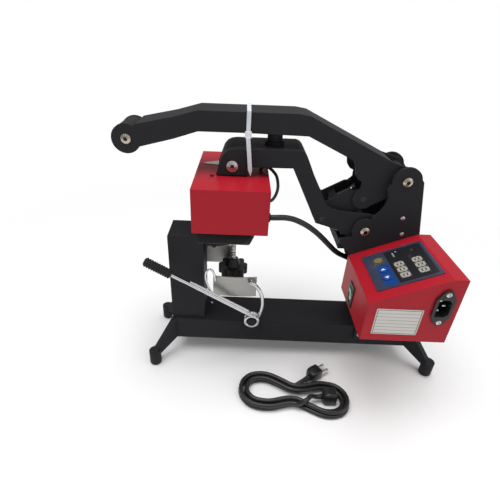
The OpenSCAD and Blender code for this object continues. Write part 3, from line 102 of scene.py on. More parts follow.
class Tree:
    """A node tree that is built by calls to node()."""

    def __init__(self, group):
        self.group = group

    def feed(self, socket, value):
        if isinstance(value, Wired):
            self.group.links.new(value.out, socket)
        else:
            socket.default_value = value

    def node(self, kind, settings=None, values=None, out=0):
        """Adds a node, makes its settings first, then feeds its sockets, and returns one output."""
        made = self.group.nodes.new(kind)
        stops = (settings or {}).get("stops")
        for key, value in (settings or {}).items():
            if key != "stops":
                setattr(made, key, value)
        if stops:
            ramp = made.color_ramp.elements
            while len(ramp) < len(stops):
                ramp.new(0.5)
            for element, (place, colour) in zip(ramp, stops):
                element.position, element.color = place, (*colour, 1)
        for key, value in (values or {}).items():
            self.feed(made.inputs[key], value)
        return Wired(self, made.outputs[out])

    def math(self, operation, *values):
        return self.node("ShaderNodeMath", {"operation": operation}, dict(enumerate(values)))


class Look(Tree):
    """A procedural material on Object coordinates, in metres."""

    def __init__(self, name, colour, roughness, metallic=0.0, specular=0.5, **sockets):
        self.material = bpy.data.materials.new(name)
        self.material.use_nodes = True
        super().__init__(self.material.node_tree)
        self.shader = self.group.nodes["Principled BSDF"]
        self.place = self.node("ShaderNodeTexCoord", out="Object")
        self.set("Base Color", (*colour, 1))
        self.set("Roughness", roughness)
        self.set("Metallic", metallic)
        self.set("Specular IOR Level", specular)
        for key, value in sockets.items():
            self.set(key.replace("_", " "), value)
        self.colour, self.roughness = colour, roughness

    def set(self, socket, value):
        self.feed(self.shader.inputs[socket], value)

    def stretched(self, scale):
        return self.node("ShaderNodeMapping", None, {"Vector": self.place, "Scale": scale})

    def noise(self, scale, detail=2.0, vector=None):
        return self.node("ShaderNodeTexNoise", None,
                         {"Vector": vector or self.place, "Scale": scale, "Detail": detail})

    def between(self, mask, low, high):
        """A colour that goes from low to high as mask goes from 0 to 1."""
        low, high = (c if isinstance(c, Wired) else (*c, 1) for c in (low, high))
        return self.node("ShaderNodeMix", {"data_type": "RGBA"}, {0: mask, 6: low, 7: high}, out=2)

    def on_press(self):
        """The place on the press in the millimetres that it is drawn in, as three numbers."""
        split = self.group.nodes.new("ShaderNodeSeparateXYZ")
        self.feed(split.inputs[0], self.place)
        foot = at(0, 0, 0)
        return [(Wired(self, split.outputs[i]) - foot[i]) * 1000 for i in range(3)]

    def vary(self, scale, amount, detail=3.0, vector=None):
        """Lightens and darkens the base colour a little, in patches of 1 / scale metres."""
        low = tuple(c * (1 - amount) for c in self.colour)
        high = tuple(min(1, c * (1 + amount)) for c in self.colour)
        self.set("Base Color", self.between(self.noise(scale, detail, vector), low, high))
        return self

    def gloss(self, scale, spread, detail=2.0, vector=None):
        """Varies the roughness by spread on either side."""
        self.set("Roughness", self.roughness + (self.noise(scale, detail, vector) - 0.5) * (2 * spread))
        return self

    def relief(self, height, depth, edge=0.0):
        """Bumps the surface by height times depth in metres, and rounds its edges by edge in metres."""
        values = {"Height": height, "Distance": depth, "Strength": 1.0}
        if edge:
            values["Normal"] = self.node("ShaderNodeBevel", {"samples": 4}, {"Radius": edge})
        self.set("Normal", self.node("ShaderNodeBump", None, values))
        return self


class Recipe(Tree):
    """A Geometry Nodes tree with named sizes, run once on a mesh of points and edges."""

    def __init__(self, name):
        group = bpy.data.node_groups.new(name, "GeometryNodeTree")
        super().__init__(group)
        for way in ("INPUT", "OUTPUT"):
            group.interface.new_socket("Geometry", in_out=way, socket_type="NodeSocketGeometry")
        self.inlet = group.nodes.new("NodeGroupInput")
        self.outlet = group.nodes.new("NodeGroupOutput")
        self.sizes = {}
        self.source = Wired(self, self.inlet.outputs[0])

    def size(self, name, kind="Float"):
        entry = self.group.interface.new_socket(name, in_out="INPUT", socket_type="NodeSocket" + kind)
        self.sizes[name] = entry.identifier
        return Wired(self, self.inlet.outputs[name])

    def geo(self, kind, settings=None, values=None, out=0):
        return self.node("GeometryNode" + kind, settings, values, out)

    def circle(self, sides, radius):
        return self.geo("CurvePrimitiveCircle", {"mode": "RADIUS"},
                        {"Resolution": sides, "Radius": radius})

    def copies(self, shape, own_turn=True):
        """The shape on each point of the source, turned by the point's own turn."""
        values = {"Points": self.source, "Instance": shape}
        if own_turn:
            values["Rotation"] = self.geo("InputNamedAttribute", {"data_type": "FLOAT_VECTOR"},
                                          {"Name": "turn"})
        return self.geo("InstanceOnPoints", None, values)

    def end(self, geometry, smooth=True):
        """Closes the tree: real geometry, shading and the finish."""
        finish = self.size("Finish", "Material")
        real = self.geo("RealizeInstances", None, {0: geometry})
        shaded = self.geo("SetShadeSmooth", None, {0: real, "Shade Smooth": smooth})
        self.feed(self.outlet.inputs[0], self.geo("SetMaterial", None, {0: shaded, "Material": finish}))
        return self

    def run(self, name, points, look, edges=None, turns=None, **sizes):
        """Makes an object from points in metres with this tree's sizes filled in."""
        mesh = bpy.data.meshes.new(name)
        mesh.from_pydata([tuple(p) for p in points], edges or [], [])
        if turns:
            own = mesh.attributes.new("turn", "FLOAT_VECTOR", "POINT")
            own.data.foreach_set("vector", [c for turn in turns for c in turn])
        piece = bpy.data.objects.new(name, mesh)
        bpy.context.scene.collection.objects.link(piece)
        modifier = piece.modifiers.new("shape", "NODES")
        modifier.node_group = self.group
        modifier[self.sizes["Finish"]] = look.material
        for key, value in sizes.items():
            modifier[self.sizes[key]] = value
        applied(piece)
        bpy.data.meshes.remove(mesh)
        piece.data.name = name
        return piece


def applied(piece):
    """Puts the result of the piece's modifiers in the place of its mesh."""
    shaped = bpy.data.meshes.new_from_object(piece.evaluated_get(bpy.context.evaluated_depsgraph_get()))
    piece.modifiers.clear()
    piece.data = shaped


def chain(count):
    """The edges that join that many points in a row."""
    return [(i, i + 1) for i in range(count - 1)]


def sweep_recipe():
    """A round wire or cord along a chain of points."""
    tree = Recipe("round_sweep")
    radius, sides = tree.size("Radius"), tree.size("Sides", "Int")
    line = tree.geo("MeshToCurve", None, {0: tree.source})
    cord = {"Curve": line, "Profile Curve": tree.circle(sides, radius), "Fill Caps": True}
    return tree.end(tree.geo("CurveToMesh", None, cord))


def thread_recipe():
    """The ridge of a screw thread round Z, from the first point upwards."""
    tree = Recipe("screw_thread")
    radius, pitch, turns = tree.size("Radius"), tree.size("Pitch"), tree.size("Turns")
    line = tree.geo("CurveSpiral", None, {"Resolution": 28, "Rotations": turns, "Start Radius": radius,
                                          "End Radius": radius, "Height": pitch * turns})
    ridge = tree.circle(4, pitch * 0.36)
    helix = tree.geo("CurveToMesh", None, {"Curve": line, "Profile Curve": ridge, "Fill Caps": True})
    return tree.end(tree.copies(helix, own_turn=False), smooth=False)


def rings_recipe():
    """Rounded rings side by side, one on each point, turned by the point's own turn."""
    tree = Recipe("grip_rings")
    radius, width = tree.size("Radius"), tree.size("Width")
    half = width * 0.5
    hoop, section = tree.circle(40, radius - half), tree.circle(12, half)
    ring = tree.geo("CurveToMesh", None, {"Curve": hoop, "Profile Curve": section})
    return tree.end(tree.copies(ring))


def repeat_recipe():
    """One pattern piece on each point, turned by the point's own turn."""
    tree = Recipe("repeated_piece")
    pattern = tree.size("Pattern", "Object")
    shape = tree.geo("ObjectInfo", None, {"Object": pattern}, out="Geometry")
    return tree.end(tree.copies(shape), smooth=False)


SWEEP, THREAD, RINGS, REPEAT = sweep_recipe(), thread_recipe(), rings_recipe(), repeat_recipe()


# ---------------------------------------------------------------- finishes

def noisy_paint(name, colour, roughness, specular, edge, grain=1100):
    """Sprayed paint on sheet steel: fine orange peel, slow patches of gloss, and rolled edges."""
    look = Look(name, colour, roughness, specular=specular)
    look.vary(14, 0.10).gloss(22, 0.05)
    return look.relief(look.noise(grain, 2) + look.noise(260, 1) * 0.6, 0.00003, edge)


def metal(name, colour, roughness, streak=None, edge=0.0):
    """Bare or plated metal; streak is the stretch of its drawing or brushing lines."""
    look = Look(name, colour, roughness, metallic=1.0)
    lines = look.stretched(streak) if streak else look.place
    patches, sheen, grain = (1.0, 1.0, 1.0) if streak else (60, 90, 500)
    look.vary(patches, 0.12, 4, lines).gloss(sheen, 0.07, 4, lines)
    return look.relief(look.noise(grain, 3, lines), 0.000012, edge)


ZINC = (0.60, 0.59, 0.57)
WARM_ZINC = (0.50, 0.44, 0.35)
# The near black that is painted as shade on the plated pins and bolts, in their sockets and inside the
# toggle.
PAINTED_SHADE_BLACK = (0.016, 0.016, 0.018)
SOCKET_R = 2.5


def socket(x, z, centre):
    """1 inside a round socket about an axis that runs across the press, where the shade in the socket is
    painted.
    """
    dx, dz = x - centre[0], z - centre[1]
    return (dx * dx + dz * dz) < SOCKET_R ** 2


def plated_with_painted_shade(name, colour, where):
    """Plated metal, painted near black as shade where the test on the press's millimetres holds."""
    look = metal(name, colour, 0.28)
    dark = where(*look.on_press())
    low, high = (tuple(c * share for c in colour) for share in (0.85, 1.12))
    bright = look.between(look.noise(60, 4), low, high)
    look.set("Base Color", look.between(dark, bright, PAINTED_SHADE_BLACK))
    look.set("Metallic", 1.0 - dark * 0.7)
    return look


def rubbery(name, colour, roughness, grain=700, depth=0.00005, specular=0.3):
    """A dull moulded or woven surface with a grain of that depth in metres."""
    look = Look(name, colour, roughness, specular=specular)
    look.vary(40, 0.18).gloss(120, 0.06)
    return look.relief(look.noise(grain, 3), depth)


black_paint = noisy_paint("black_powder_coat", (0.0215, 0.0215, 0.0245), 0.58, 0.10, mm(1.3))
red_paint = noisy_paint("red_enamel", (0.365, 0.0095, 0.020), 0.42, 0.18, mm(1.1), grain=800)
zinc = metal("bright_zinc", ZINC, 0.28)
chrome = metal("polished_chrome", (0.60, 0.60, 0.615), 0.17)
dull_tab = metal("dull_tab", (0.52, 0.515, 0.50), 0.38)
brushed = metal("brushed_steel", (0.36, 0.355, 0.335), 0.44, (60, 900, 900), edge=mm(0.4))
aluminium = metal("dull_aluminium", (0.50, 0.485, 0.455), 0.46, (900, 70, 70), edge=mm(0.4))
black_plastic = rubbery("black_nylon", (0.0125, 0.0125, 0.013), 0.38, 900, 0.00002, 0.4)
black_rubber = rubbery("black_rubber", (0.012, 0.012, 0.0125), 0.62)
foam = rubbery("black_foam", (0.020, 0.020, 0.021), 0.80, 1500, 0.00012, 0.2)
cord_jacket = rubbery("cord_jacket", (0.0135, 0.0135, 0.014), 0.34, 1400, 0.00002, 0.45)
silicone = rubbery("black_silicone", (0.02, 0.02, 0.021), 0.55, 500, 0.00003)
heater_mat = rubbery("orange_heater_mat", (0.42, 0.10, 0.03), 0.6, 600, 0.00008)
fibre = rubbery("white_fibre", (0.66, 0.63, 0.55), 0.9, 350, 0.0006, 0.1)
green_board = rubbery("green_board", (0.02, 0.13, 0.05), 0.4, 300, 0.00003)
smoke = Look("smoked_window", (0.05, 0.05, 0.047), 0.12, Coat_Weight=0.6).vary(30, 0.2)
segment_grey = Look("unlit_segments", (0.37, 0.35, 0.315), 0.35, specular=0.4).vary(200, 0.08)
green_lens = Look("green_rocker", (0.010, 0.165, 0.055), 0.22, Coat_Weight=0.5).vary(70, 0.25)
gold_key = Look("amber_key", (0.18, 0.15, 0.075), 0.35, specular=0.4).vary(250, 0.25)
blue_key = Look("blue_key", (0.013, 0.062, 0.27), 0.32, specular=0.35).vary(150, 0.12)
mark_white = Look("printed_white", (0.72, 0.76, 0.82), 0.4).vary(400, 0.06)
dark_lens = Look("dark_red_lamp", (0.09, 0.008, 0.010), 0.15, Coat_Weight=0.7).vary(400, 0.2)
clear_lens = Look("clear_lamp", (0.30, 0.34, 0.33), 0.15, Coat_Weight=0.7).vary(400, 0.1)
tie_nylon = Look("white_nylon", (0.70, 0.69, 0.72), 0.38, specular=0.4, Subsurface_Weight=0.15)
tie_nylon.vary(80, 0.05).relief(tie_nylon.noise(600, 2), 0.00002)
for lens in (smoke, segment_grey, green_lens, gold_key, blue_key, mark_white, dark_lens, clear_lens):
    lens.relief(lens.noise(900, 2), 0.000008)


# ---------------------------------------------------------------- the sloped panel

SLOPE = math.radians(23.1177)
SLOPE_FOOT = (161.8, 0.0, 201.0)
PANEL_T = 1.25  # height of the faceplate's face over the sheet
ALONG = Vector((math.cos(SLOPE), 0, math.sin(SLOPE)))
OUT = Vector((-math.sin(SLOPE), 0, math.cos(SLOPE)))


def on_panel(u, v, h=0.0):
    """A point on the panel: u up the slope, v across the press, h above the sheet, in millimetres."""
    return at(*(Vector(SLOPE_FOOT) + ALONG * u + Vector((0, v, 0)) + OUT * h))


# The printed fields: from and to up the slope, from and to across the press, and the colour.
PANEL_FIELDS = [
    (41.6, 86, -118.6, -53.6, (0.0125, 0.0125, 0.016)),  # black, round the windows
    (25.5, 40.6, -118.6, -77, (0.008, 0.045, 0.200)),  # blue, round the two arrow keys
    (25.5, 40.6, -76.2, -58.5, (0.030, 0.044, 0.075)),  # slate, round the set key
    (25.4, 38.2, -74.4, -60.8, (0.075, 0.066, 0.040)),  # dark amber, at the set key
]


def panel_print():
    """The printed faceplate: a slate border with the fields on it."""
    look = Look("printed_faceplate", (0.045, 0.052, 0.085), 0.30, specular=0.45, Coat_Weight=0.25)
    x, v, z = look.on_press()
    u = (x - SLOPE_FOOT[0]) * ALONG.x + (z - SLOPE_FOOT[2]) * ALONG.z
    colour = look.between(look.noise(35, 3), (0.026, 0.034, 0.066), (0.040, 0.048, 0.086))
    for u0, u1, v0, v1, ink in PANEL_FIELDS:
        inside = (u > u0) * (u < u1) * (v > v0) * (v < v1)
        colour = look.between(inside, colour, ink)
    look.set("Base Color", colour)
    look.relief(look.noise(1200, 2), 0.000008, mm(0.3))
    return look


# Axes of the pins and bolts, as (x, z); a pin is painted near black, as painted shade, in its socket and
# where it lies in the shade inside the toggle.
PIVOT_A, PIVOT_B, GRIP_PIN, HEAD_PIN = (177, 239), (215, 309), (-129, 347.5), (0, 319.3)
HANDLE_SHADE_FROM, ARM_SHADE_FROM = 100.0, 60.0
LINK_AXIS, LINK_SHADE_TO = (0.8664, 0.4994), 279.3

hinge_fixing = plated_with_painted_shade("hinge_fixing", WARM_ZINC,
                          lambda x, y, z: socket(x, z, PIVOT_A) + socket(x, z, PIVOT_B))
link_fixing = plated_with_painted_shade("link_fixing", ZINC,
                         lambda x, y, z: (x * LINK_AXIS[0] + z * LINK_AXIS[1]) < LINK_SHADE_TO)
handle_fixing = plated_with_painted_shade("handle_fixing", WARM_ZINC,
                           lambda x, y, z: (x > HANDLE_SHADE_FROM) + socket(x, z, GRIP_PIN))
arm_fixing = plated_with_painted_shade("arm_fixing", ZINC,
                        lambda x, y, z: (x > ARM_SHADE_FROM) + socket(x, z, HEAD_PIN))

FINISH = {
    black_paint: "base_beam leg_yokes post near_side_plate far_side_plate back_channel arm_stop_bar "
                 "saddle_bracket lever_lug lever_pivot_stud saddle_plate saddle_base head_hanger "
                 "arm_frame handle_frame toggle_link",
    red_paint: "control_box_cover control_box_base head_cover",
    zinc: "frame_bolts arm_stop_screw pivot_spacers panel_screws inlet_pins hanger_screws",
    hinge_fixing: "pivot_bolts",
    link_fixing: "link_bolt",
    handle_fixing: "handle_pins",
    arm_fixing: "arm_pins",
    chrome: "band_lever hook_wires pressure_screw",
    brushed: "post_side_plate band_plate",
    aluminium: "heater_platen",
    black_plastic: "inlet_socket switch_bezel cable_gland star_knob",
    black_rubber: "rubber_feet rubber_bumper head_gland lever_grip",
    foam: "grip_sleeve",
    cord_jacket: "head_cable mains_lead lead_connector lead_plug sensor_lead",
    silicone: "saddle_pad",
    heater_mat: "heating_element",
    fibre: "insulation_pad",
    green_board: "circuit_board",
    smoke: "display_windows",
    green_lens: "rocker_switch",
    gold_key: "set_button",
    blue_key: "up_button down_button",
    tie_nylon: "cable_tie",
    panel_print(): "faceplate",
}
for look, names in FINISH.items():
    for name in names.split():
        for place in cad[name].material_slots:
            place.material = look.material


# ---------------------------------------------------------------- helpers for pieces

def settle(piece, body, slot, *nodes):
    """Rides the piece on its body and hides the solids that it stands for; the slot is not used."""
    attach(piece, body)
    if nodes:
        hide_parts(*nodes)
    return piece


SHARP_EDGE = 0.5  # radians, beyond which an edge is bevelled
SHARP_SHADE = math.radians(38)


def solid(name, build, look, bevel=0.0, smooth=True):
    """A closed mesh from a bmesh builder, with rounded edges."""
    work = bmesh.new()
    build(work)
    bmesh.ops.remove_doubles(work, verts=work.verts, dist=1e-6)
    if bevel:
        sharp = [e for e in work.edges if len(e.link_faces) == 2 and e.calc_face_angle(0) > SHARP_EDGE]
        bmesh.ops.bevel(work, geom=sharp, offset=bevel, segments=2, profile=0.5, affect="EDGES",
                        clamp_overlap=True)
    bmesh.ops.recalc_face_normals(work, faces=work.faces)
    mesh = bpy.data.meshes.new(name)
    work.to_mesh(mesh)
    work.free()
    mesh.materials.append(look.material)
    if smooth:
        mesh.shade_smooth()
        mesh.set_sharp_from_angle(angle=SHARP_SHADE)
    piece = bpy.data.objects.new(name, mesh)
    bpy.context.scene.collection.objects.link(piece)
    return piece


def circle_of(radius, sides=20):
    """The corners of a round outline."""
    return [(radius * math.cos(2 * math.pi * i / sides), radius * math.sin(2 * math.pi * i / sides))
            for i in range(sides)]


def skin(work, rings):
    """Closes a row of vertex rings with the two end faces and the walls between."""
    work.faces.new(rings[0][::-1])
    work.faces.new(rings[-1])
    for low, high in zip(rings, rings[1:]):
        for i in range(len(low)):
            j = (i + 1) % len(low)
            work.faces.new((low[i], low[j], high[j], high[i]))


def prism(work, outline, low, high, place=Matrix.Identity(4)):
    """Adds a prism over a flat outline, from height low to high, all in metres before place."""
    skin(work, [[work.verts.new(place @ Vector((x, y, z))) for x, y in outline] for z in (low, high)])


def turned(work, profile, place, sides=40):
    """Adds a turned shape from (radius, height) pairs round Z, closed at both ends."""
    skin(work, [[work.verts.new(place @ Vector((x, y, h))) for x, y in circle_of(r, sides)]
                for r, h in profile])


def loft(work, path, sections):
    """Adds a skin through flat sections, lists of (side, up) offsets in metres at each path point."""
    side = None
    rings = []
    for i, p in enumerate(path):
        ahead = (path[min(i + 1, len(path) - 1)] - path[max(i - 1, 0)]).normalized()
        side = Vector((0, 0, 1)).cross(ahead) if side is None else side
        side = (side - ahead * side.dot(ahead)).normalized()
        up_way = ahead.cross(side)
        rings.append([work.verts.new(p + side * a + up_way * b) for a, b in sections[i]])
    skin(work, rings)


def facing(place, way, axis="Z"):
    """The matrix that stands at place with its axis along way."""
    return Matrix.Translation(place) @ way.to_track_quat(axis, "Y").to_matrix().to_4x4()


def rounded(width, height, corner, steps=5):
    """A rounded rectangle as a list of points."""
    points = []
    for quarter, (sx, sy) in enumerate(((1, 1), (-1, 1), (-1, -1), (1, -1))):
        for k in range(steps + 1):
            a = math.pi / 2 * (quarter + k / steps)
            points.append((sx * (width / 2 - corner) + corner * math.cos(a),
                           sy * (height / 2 - corner) + corner * math.sin(a)))
    return points


def smooth_path(points, steps):
    """A finer chain through the points, bending evenly."""
    fine = []
    for i in range(len(points) - 1):
        a, b = points[max(i - 1, 0)], points[i]
        c, d = points[i + 1], points[min(i + 2, len(points) - 1)]
        for k in range(steps):
            t = k / steps
            fine.append(0.5 * ((2 * b) + (c - a) * t + (2 * a - 5 * b + 4 * c - d) * t * t
                               + (3 * b - a - 3 * c + d) * t ** 3))
    return fine + [points[-1]]


def length_of(points):
    return sum((b - a).length for a, b in zip(points, points[1:]))


# ---------------------------------------------------------------- cords

# From the head's gland, past the arm's hinge, to the gland in the near side plate.
HEAD_CABLE = [(46.8, -42, 258), (56, -42, 258), (68, -40, 257.6), (80, -38, 255), (92, -36, 249.5),
              (103, -34, 242.5), (113, -32, 234.5), (122, -30, 226), (130, -27.5, 217.5),
              (138, -24, 208.5), (146, -19.5, 199.5), (154, -14, 191.5), (162, -8.5, 185),
              (170, -5, 180), (179, -4.5, 176), (185.8, -8, 173.4), (190.2, -14.5, 172.2),
              (191.8, -20.5, 172), (192, -23, 172), (192, -28, 172), (192, -34, 172)]
head_path = smooth_path([at(*p) for p in HEAD_CABLE], 5)
head_cord = SWEEP.run("head_cord", head_path, cord_jacket, chain(len(head_path)),
                      Radius=mm(3.75), Sides=24)
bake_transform(head_cord)
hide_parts("head_cable")
length_of(head_path)
mm(7.5)

# From the head's side up in a loop and down through the head's top.
SENSOR = [(42.5, -28, 274), (47.5, -28, 274), (52.5, -27, 276), (56.5, -24, 281), (59, -20, 288),
          (59, -15, 295), (57, -10, 302), (52.5, -6, 307), (47, -3, 310.5), (42, -1.5, 311),
          (37.9, -0.5, 309.4), (36.5, 0, 306.4), (36.5, 0, 304.9)]
sensor_path = smooth_path([at(*p) for p in SENSOR], 6)
sensor_cord = SWEEP.run("sensor_cord", sensor_path, cord_jacket, chain(len(sensor_path)),
                        Radius=mm(2), Sides=18)
settle(sensor_cord, "head", "lead_sheath", "sensor_lead")
length_of(sensor_path)
mm(4)

# The loose mains lead: an oval drawn in at its middle, wound inwards and then outwards on top of itself.
LEAD_D = 6.5
HANK_C, HANK_E = 56.0, 58.7  # the two lengths of the Cassini oval that the hank follows
HANK_TURNS, HANK_START = 3.5, 100.0  # how often it goes round, and its first angle in degrees
TURNS_IN, TURNS_UP = 1.5, 2.0  # where it stops going inwards, and where it has climbed on itself
HANK_STEP, HANK_LAYER = LEAD_D + 1.9, LEAD_D + 0.9  # from turn to turn, and from layer to layer
HANK_AT, HANK_TURN = (101.0, -112.0), math.radians(-7)
TURN_STEPS = 24
PLUG_TAIL = [(15.5, 31, 5), (11, 27.2, 5), (6, 23.2, 4), (2, 20, LEAD_D / 2)]
CONNECTOR_TAIL = [(8.5, -18.2, 14), (13.5, -17, 18.3), (17.5, -13.8, 19.2), (20.5, -9.5, 18.6),
                  (23.5, -5.5, 16), (27.5, -2.8, 12.6), (31, -1.6, 11.5), (35, -0.8, 11.5)]
CONNECTOR_END, PLUG_END = 23.5, 27


def oval(angle):
    """The oval's point at an angle in degrees, in millimetres."""
    a = math.radians(angle)
    across = HANK_C ** 2 * math.sin(2 * a)
    r = math.sqrt(HANK_C ** 2 * math.cos(2 * a) + math.sqrt(HANK_E ** 4 - across ** 2))
    return Vector((r * math.cos(a), r * math.sin(a)))


def hank_point(t):
    """The lead's point after t turns: (x, y, height) in millimetres from the hank's middle."""
    angle = t * 360 + HANK_START
    way = (oval(angle + 0.5) - oval(angle - 0.5)).normalized()
    if t < TURNS_IN:
        inset, rise = t * HANK_STEP, 0
    elif t < TURNS_UP:
        inset, rise = TURNS_IN * HANK_STEP, (1 - math.cos((t - TURNS_IN) * 2 * math.pi)) / 2
    else:
        inset, rise = (HANK_TURNS - t) * HANK_STEP, 1
    p = oval(angle) + inset * Vector((-way.y, way.x))
    return p.x, p.y, LEAD_D / 2 + rise * HANK_LAYER


def in_hank(point):
    """A point of the hank on the floor, in metres in the frame."""
    x, y, z = point
    c, s = math.cos(HANK_TURN), math.sin(HANK_TURN)
    return at(HANK_AT[0] + c * x - s * y, HANK_AT[1] + s * x + c * y, z)


turns = [hank_point(i / TURN_STEPS) for i in range(int(HANK_TURNS * TURN_STEPS) + 1)]
lead_points = [in_hank(p) for p in PLUG_TAIL + turns + CONNECTOR_TAIL][::-1]
lead_path = smooth_path(lead_points, 3)
mains_cord = SWEEP.run("mains_cord", lead_path, cord_jacket, chain(len(lead_path)),
                       Radius=mm(LEAD_D / 2), Sides=20)


RIBS = 12


def lead_end(name, tip, before, width, height, rise, start, end, node):
    """A moulded end of the lead, from its tip on: a ribbed, tapered relief, then a soft-cornered
    block from start to end, with its middle at the height rise."""
    ahead = Vector((tip - before)[:2]).normalized()
    ahead = Vector((ahead.x, ahead.y, 0))
    middle = Vector((tip.x, tip.y, mm(rise)))
    stations, sections = [], []
    for k in range(RIBS + 1):
        s = -1 + (start + 1.5) * k / RIBS
        radius = LEAD_D / 2 + 0.35 + (1.2 if k % 2 else 0.55) * (k / RIBS)
        stations.append(tip + ahead * mm(s))
        sections.append(mm_pairs(circle_of(radius, 24)))
    relief = solid(name + "_relief", lambda work: loft(work, stations, sections), cord_jacket)
    stations, sections = [], []
    for s, share in ((start, 0.72), (start + 1.2, 0.86), (start + 4, 0.95), ((start + end) / 2, 1.0),
                     (end - 1.0, 0.98), (end, 0.90)):
        stations.append(middle + ahead * mm(s))
        sections.append(mm_pairs(rounded(width * share, height * share, 3.2)))
    body = solid(name + "_body", lambda work: loft(work, stations, sections), cord_jacket)
    settle(relief, "base", "lead_sheath")
    settle(body, "base", "lead_sheath", node)
    return relief, body, middle, ahead


connector_relief, connector_body, connector_at, connector_way = lead_end(
    "connector", lead_path[0], lead_path[1], 16, 23, 11.5, 5, CONNECTOR_END, "lead_connector")
plug_relief, plug_body, plug_at, plug_way = lead_end(
    "plug", lead_path[-1], lead_path[-2], 18, 17.9, 9, 8, PLUG_END, "lead_plug")


def plug_pins(work):
    """Two round pins with blunt tips."""
    side = Vector((-plug_way.y, plug_way.x, 0))
    for s in (-1, 1):
        foot = plug_at + plug_way * mm(PLUG_END - 0.5) + side * mm(5 * s)
        profile = mm_pairs([(2.2, 0), (2.2, 13.6), (1.9, 14.6), (1.1, 15.3)])
        turned(work, profile, facing(foot, plug_way), 24)


pins = settle(solid("plug_pins", plug_pins, zinc), "base", "zinc")


def connector_slots(work):
    """Dark inlays a hair proud of the connector's face: painted shade that stands for the holes of its
    three contacts.
    """
    side = Vector((-connector_way.y, connector_way.x, 0))
    for a, b in ((-3.0, -5.5), (3.0, 0.0), (-3.0, 5.5)):
        face = connector_at + connector_way * mm(CONNECTOR_END - 0.05)
        middle = face + side * mm(a) + Vector((0, 0, mm(b)))
        outline = rounded(mm(2.2), mm(4.6), mm(0.3), 2)
        prism(work, outline, mm(-0.3), mm(0.04), facing(middle, connector_way))


hole_shade = settle(solid("connector_slots", connector_slots, black_rubber), "base", "lead_sheath")
settle(mains_cord, "base", "lead_sheath", "mains_lead")
length_of(lead_path)
mm(LEAD_D)


# ---------------------------------------------------------------- lever wires and grip

LEVER_PIVOT = (35.0, 87.5)  # x and z
LEVER_Y = -47.6  # the plane of the rod; the right arm is a wire's pitch further in
LEVER_A = math.radians(149.5)
WIRE_D, HOOK_D = 5.5, 3.0
COIL_R, COIL_PITCH = 8.9, 6.1
ROD_L, GRIP_L = 179.0, 42.0
GRIP_FOOT = ROD_L + 3 - GRIP_L
ARM_Y = LEVER_Y + COIL_PITCH
rod_out = Vector((math.cos(LEVER_A), math.sin(LEVER_A)))
rod_foot = Vector(LEVER_PIVOT) + COIL_R * Vector((rod_out.y, -rod_out.x))


def on_rod(k, y=LEVER_Y, above=0.0):
    """The drawing's point k millimetres up the rod, above its axis by so much, in the plane y."""
    p = rod_foot + rod_out * k + Vector((rod_out.y, -rod_out.x)) * above
    return p.x, y, p.y


EYE_R = COIL_R + 0.15
eye_a = math.radians(23.5)
eye_end = (LEVER_PIVOT[0] + EYE_R * math.cos(eye_a), LEVER_PIVOT[1] + EYE_R * math.sin(eye_a))
right_arm = [(x, ARM_Y, z) for x, z in (
    eye_end, (46.2, 95), (48.6, 104), (49.6, 114), (49, 124), (47, 133), (43.6, 141), (39, 147.6),
    (36, 150.2), (33, 152))] + [
    (x, ARM_Y + y, 152.5) for x, y in ((31, 0.54), (29.54, 2), (29, 4), (29, 10))]
HOOK_Y = LEVER_Y + WIRE_D / 2 + HOOK_D / 2 + 0.1
hook = [on_rod(k, HOOK_Y) for k in (100, 90, 80, 74)] + [(x, HOOK_Y, z) for x, z in (
    (-26.5, 137), (-30.5, 147), (-33, 156.5), (-33.2, 165.5), (-31.2, 172.2), (-27.4, 174.8),
    (-23.6, 172.6), (-21.2, 167), (-20.2, 160.5), (-20, 156))] + [
    (-20, HOOK_Y + 1, 153.5), (-20, HOOK_Y + 3.5, 152.5), (-20, HOOK_Y + 11.25, 152.5)]
STAY_UP = (WIRE_D + HOOK_D) / 2 + 0.1


def wire(name, points, diameter):
    """A round chrome wire that bends evenly through points of the drawing."""
    path = smooth_path([at(*p) for p in points], 5)
    return SWEEP.run(name, path, chrome, chain(len(path)), Radius=mm(diameter / 2), Sides=24)


rod = wire("lever_rod", [on_rod(k) for k in (ROD_L, ROD_L - 60, 60, 0)], WIRE_D)
settle(rod, "lever", "chrome_rod", "band_lever")
settle(wire("lever_arm", right_arm, WIRE_D), "lever", "chrome_rod")
settle(wire("hook_wire", hook, HOOK_D), "lever", "chrome_rod", "hook_wires")
stay = [on_rod(k, above=STAY_UP) for k in (112, 80, 45, 14)]
settle(wire("stay_wire", stay, HOOK_D), "lever", "chrome_rod")
across = (math.radians(90), 0, 0)
eye = RINGS.run("lever_eye", [at(LEVER_PIVOT[0], y, LEVER_PIVOT[1]) for y in (LEVER_Y, ARM_Y)], chrome,
                turns=[across, across], Radius=mm(EYE_R + WIRE_D / 2 + 0.2), Width=mm(WIRE_D + 0.4))
settle(eye, "lever", "chrome_rod")

along_rod = (0, math.pi / 2 - LEVER_A, 0)
RIB_COUNT, RIB_STEP = 11, 3.55
grip_spots = [at(*on_rod(GRIP_FOOT + 2.8 + i * RIB_STEP)) for i in range(RIB_COUNT)]
settle(RINGS.run("grip_ribs", grip_spots, black_rubber, turns=[along_rod] * RIB_COUNT,
                 Radius=mm(7), Width=mm(3.1)), "lever", "black_rubber")


def grip_core(work):
    """The rubber body under the ribs, with a rounded end."""
    place = Matrix.Translation(at(*on_rod(GRIP_FOOT))) @ Matrix.Rotation(along_rod[1], 4, "Y")
    turned(work, mm_pairs([(3.4, 0), (5.2, 0.3), (5.8, 1.4), (5.8, GRIP_L - 3), (5.4, GRIP_L - 1.2),
                           (4.2, GRIP_L - 0.3), (2.0, GRIP_L)]), place)


settle(solid("grip_core", grip_core, black_rubber), "lever", "black_rubber", "lever_grip")


# ---------------------------------------------------------------- pressure screw

screw_at = at(4, 0, 168.5)


def screw_core(work):
    """The screw's core inside its thread, tapered at both ends."""
    turned(work, mm_pairs([(3.0, -8), (3.35, 0), (3.35, 45), (2.6, 47.6)]), Matrix.Translation(screw_at))


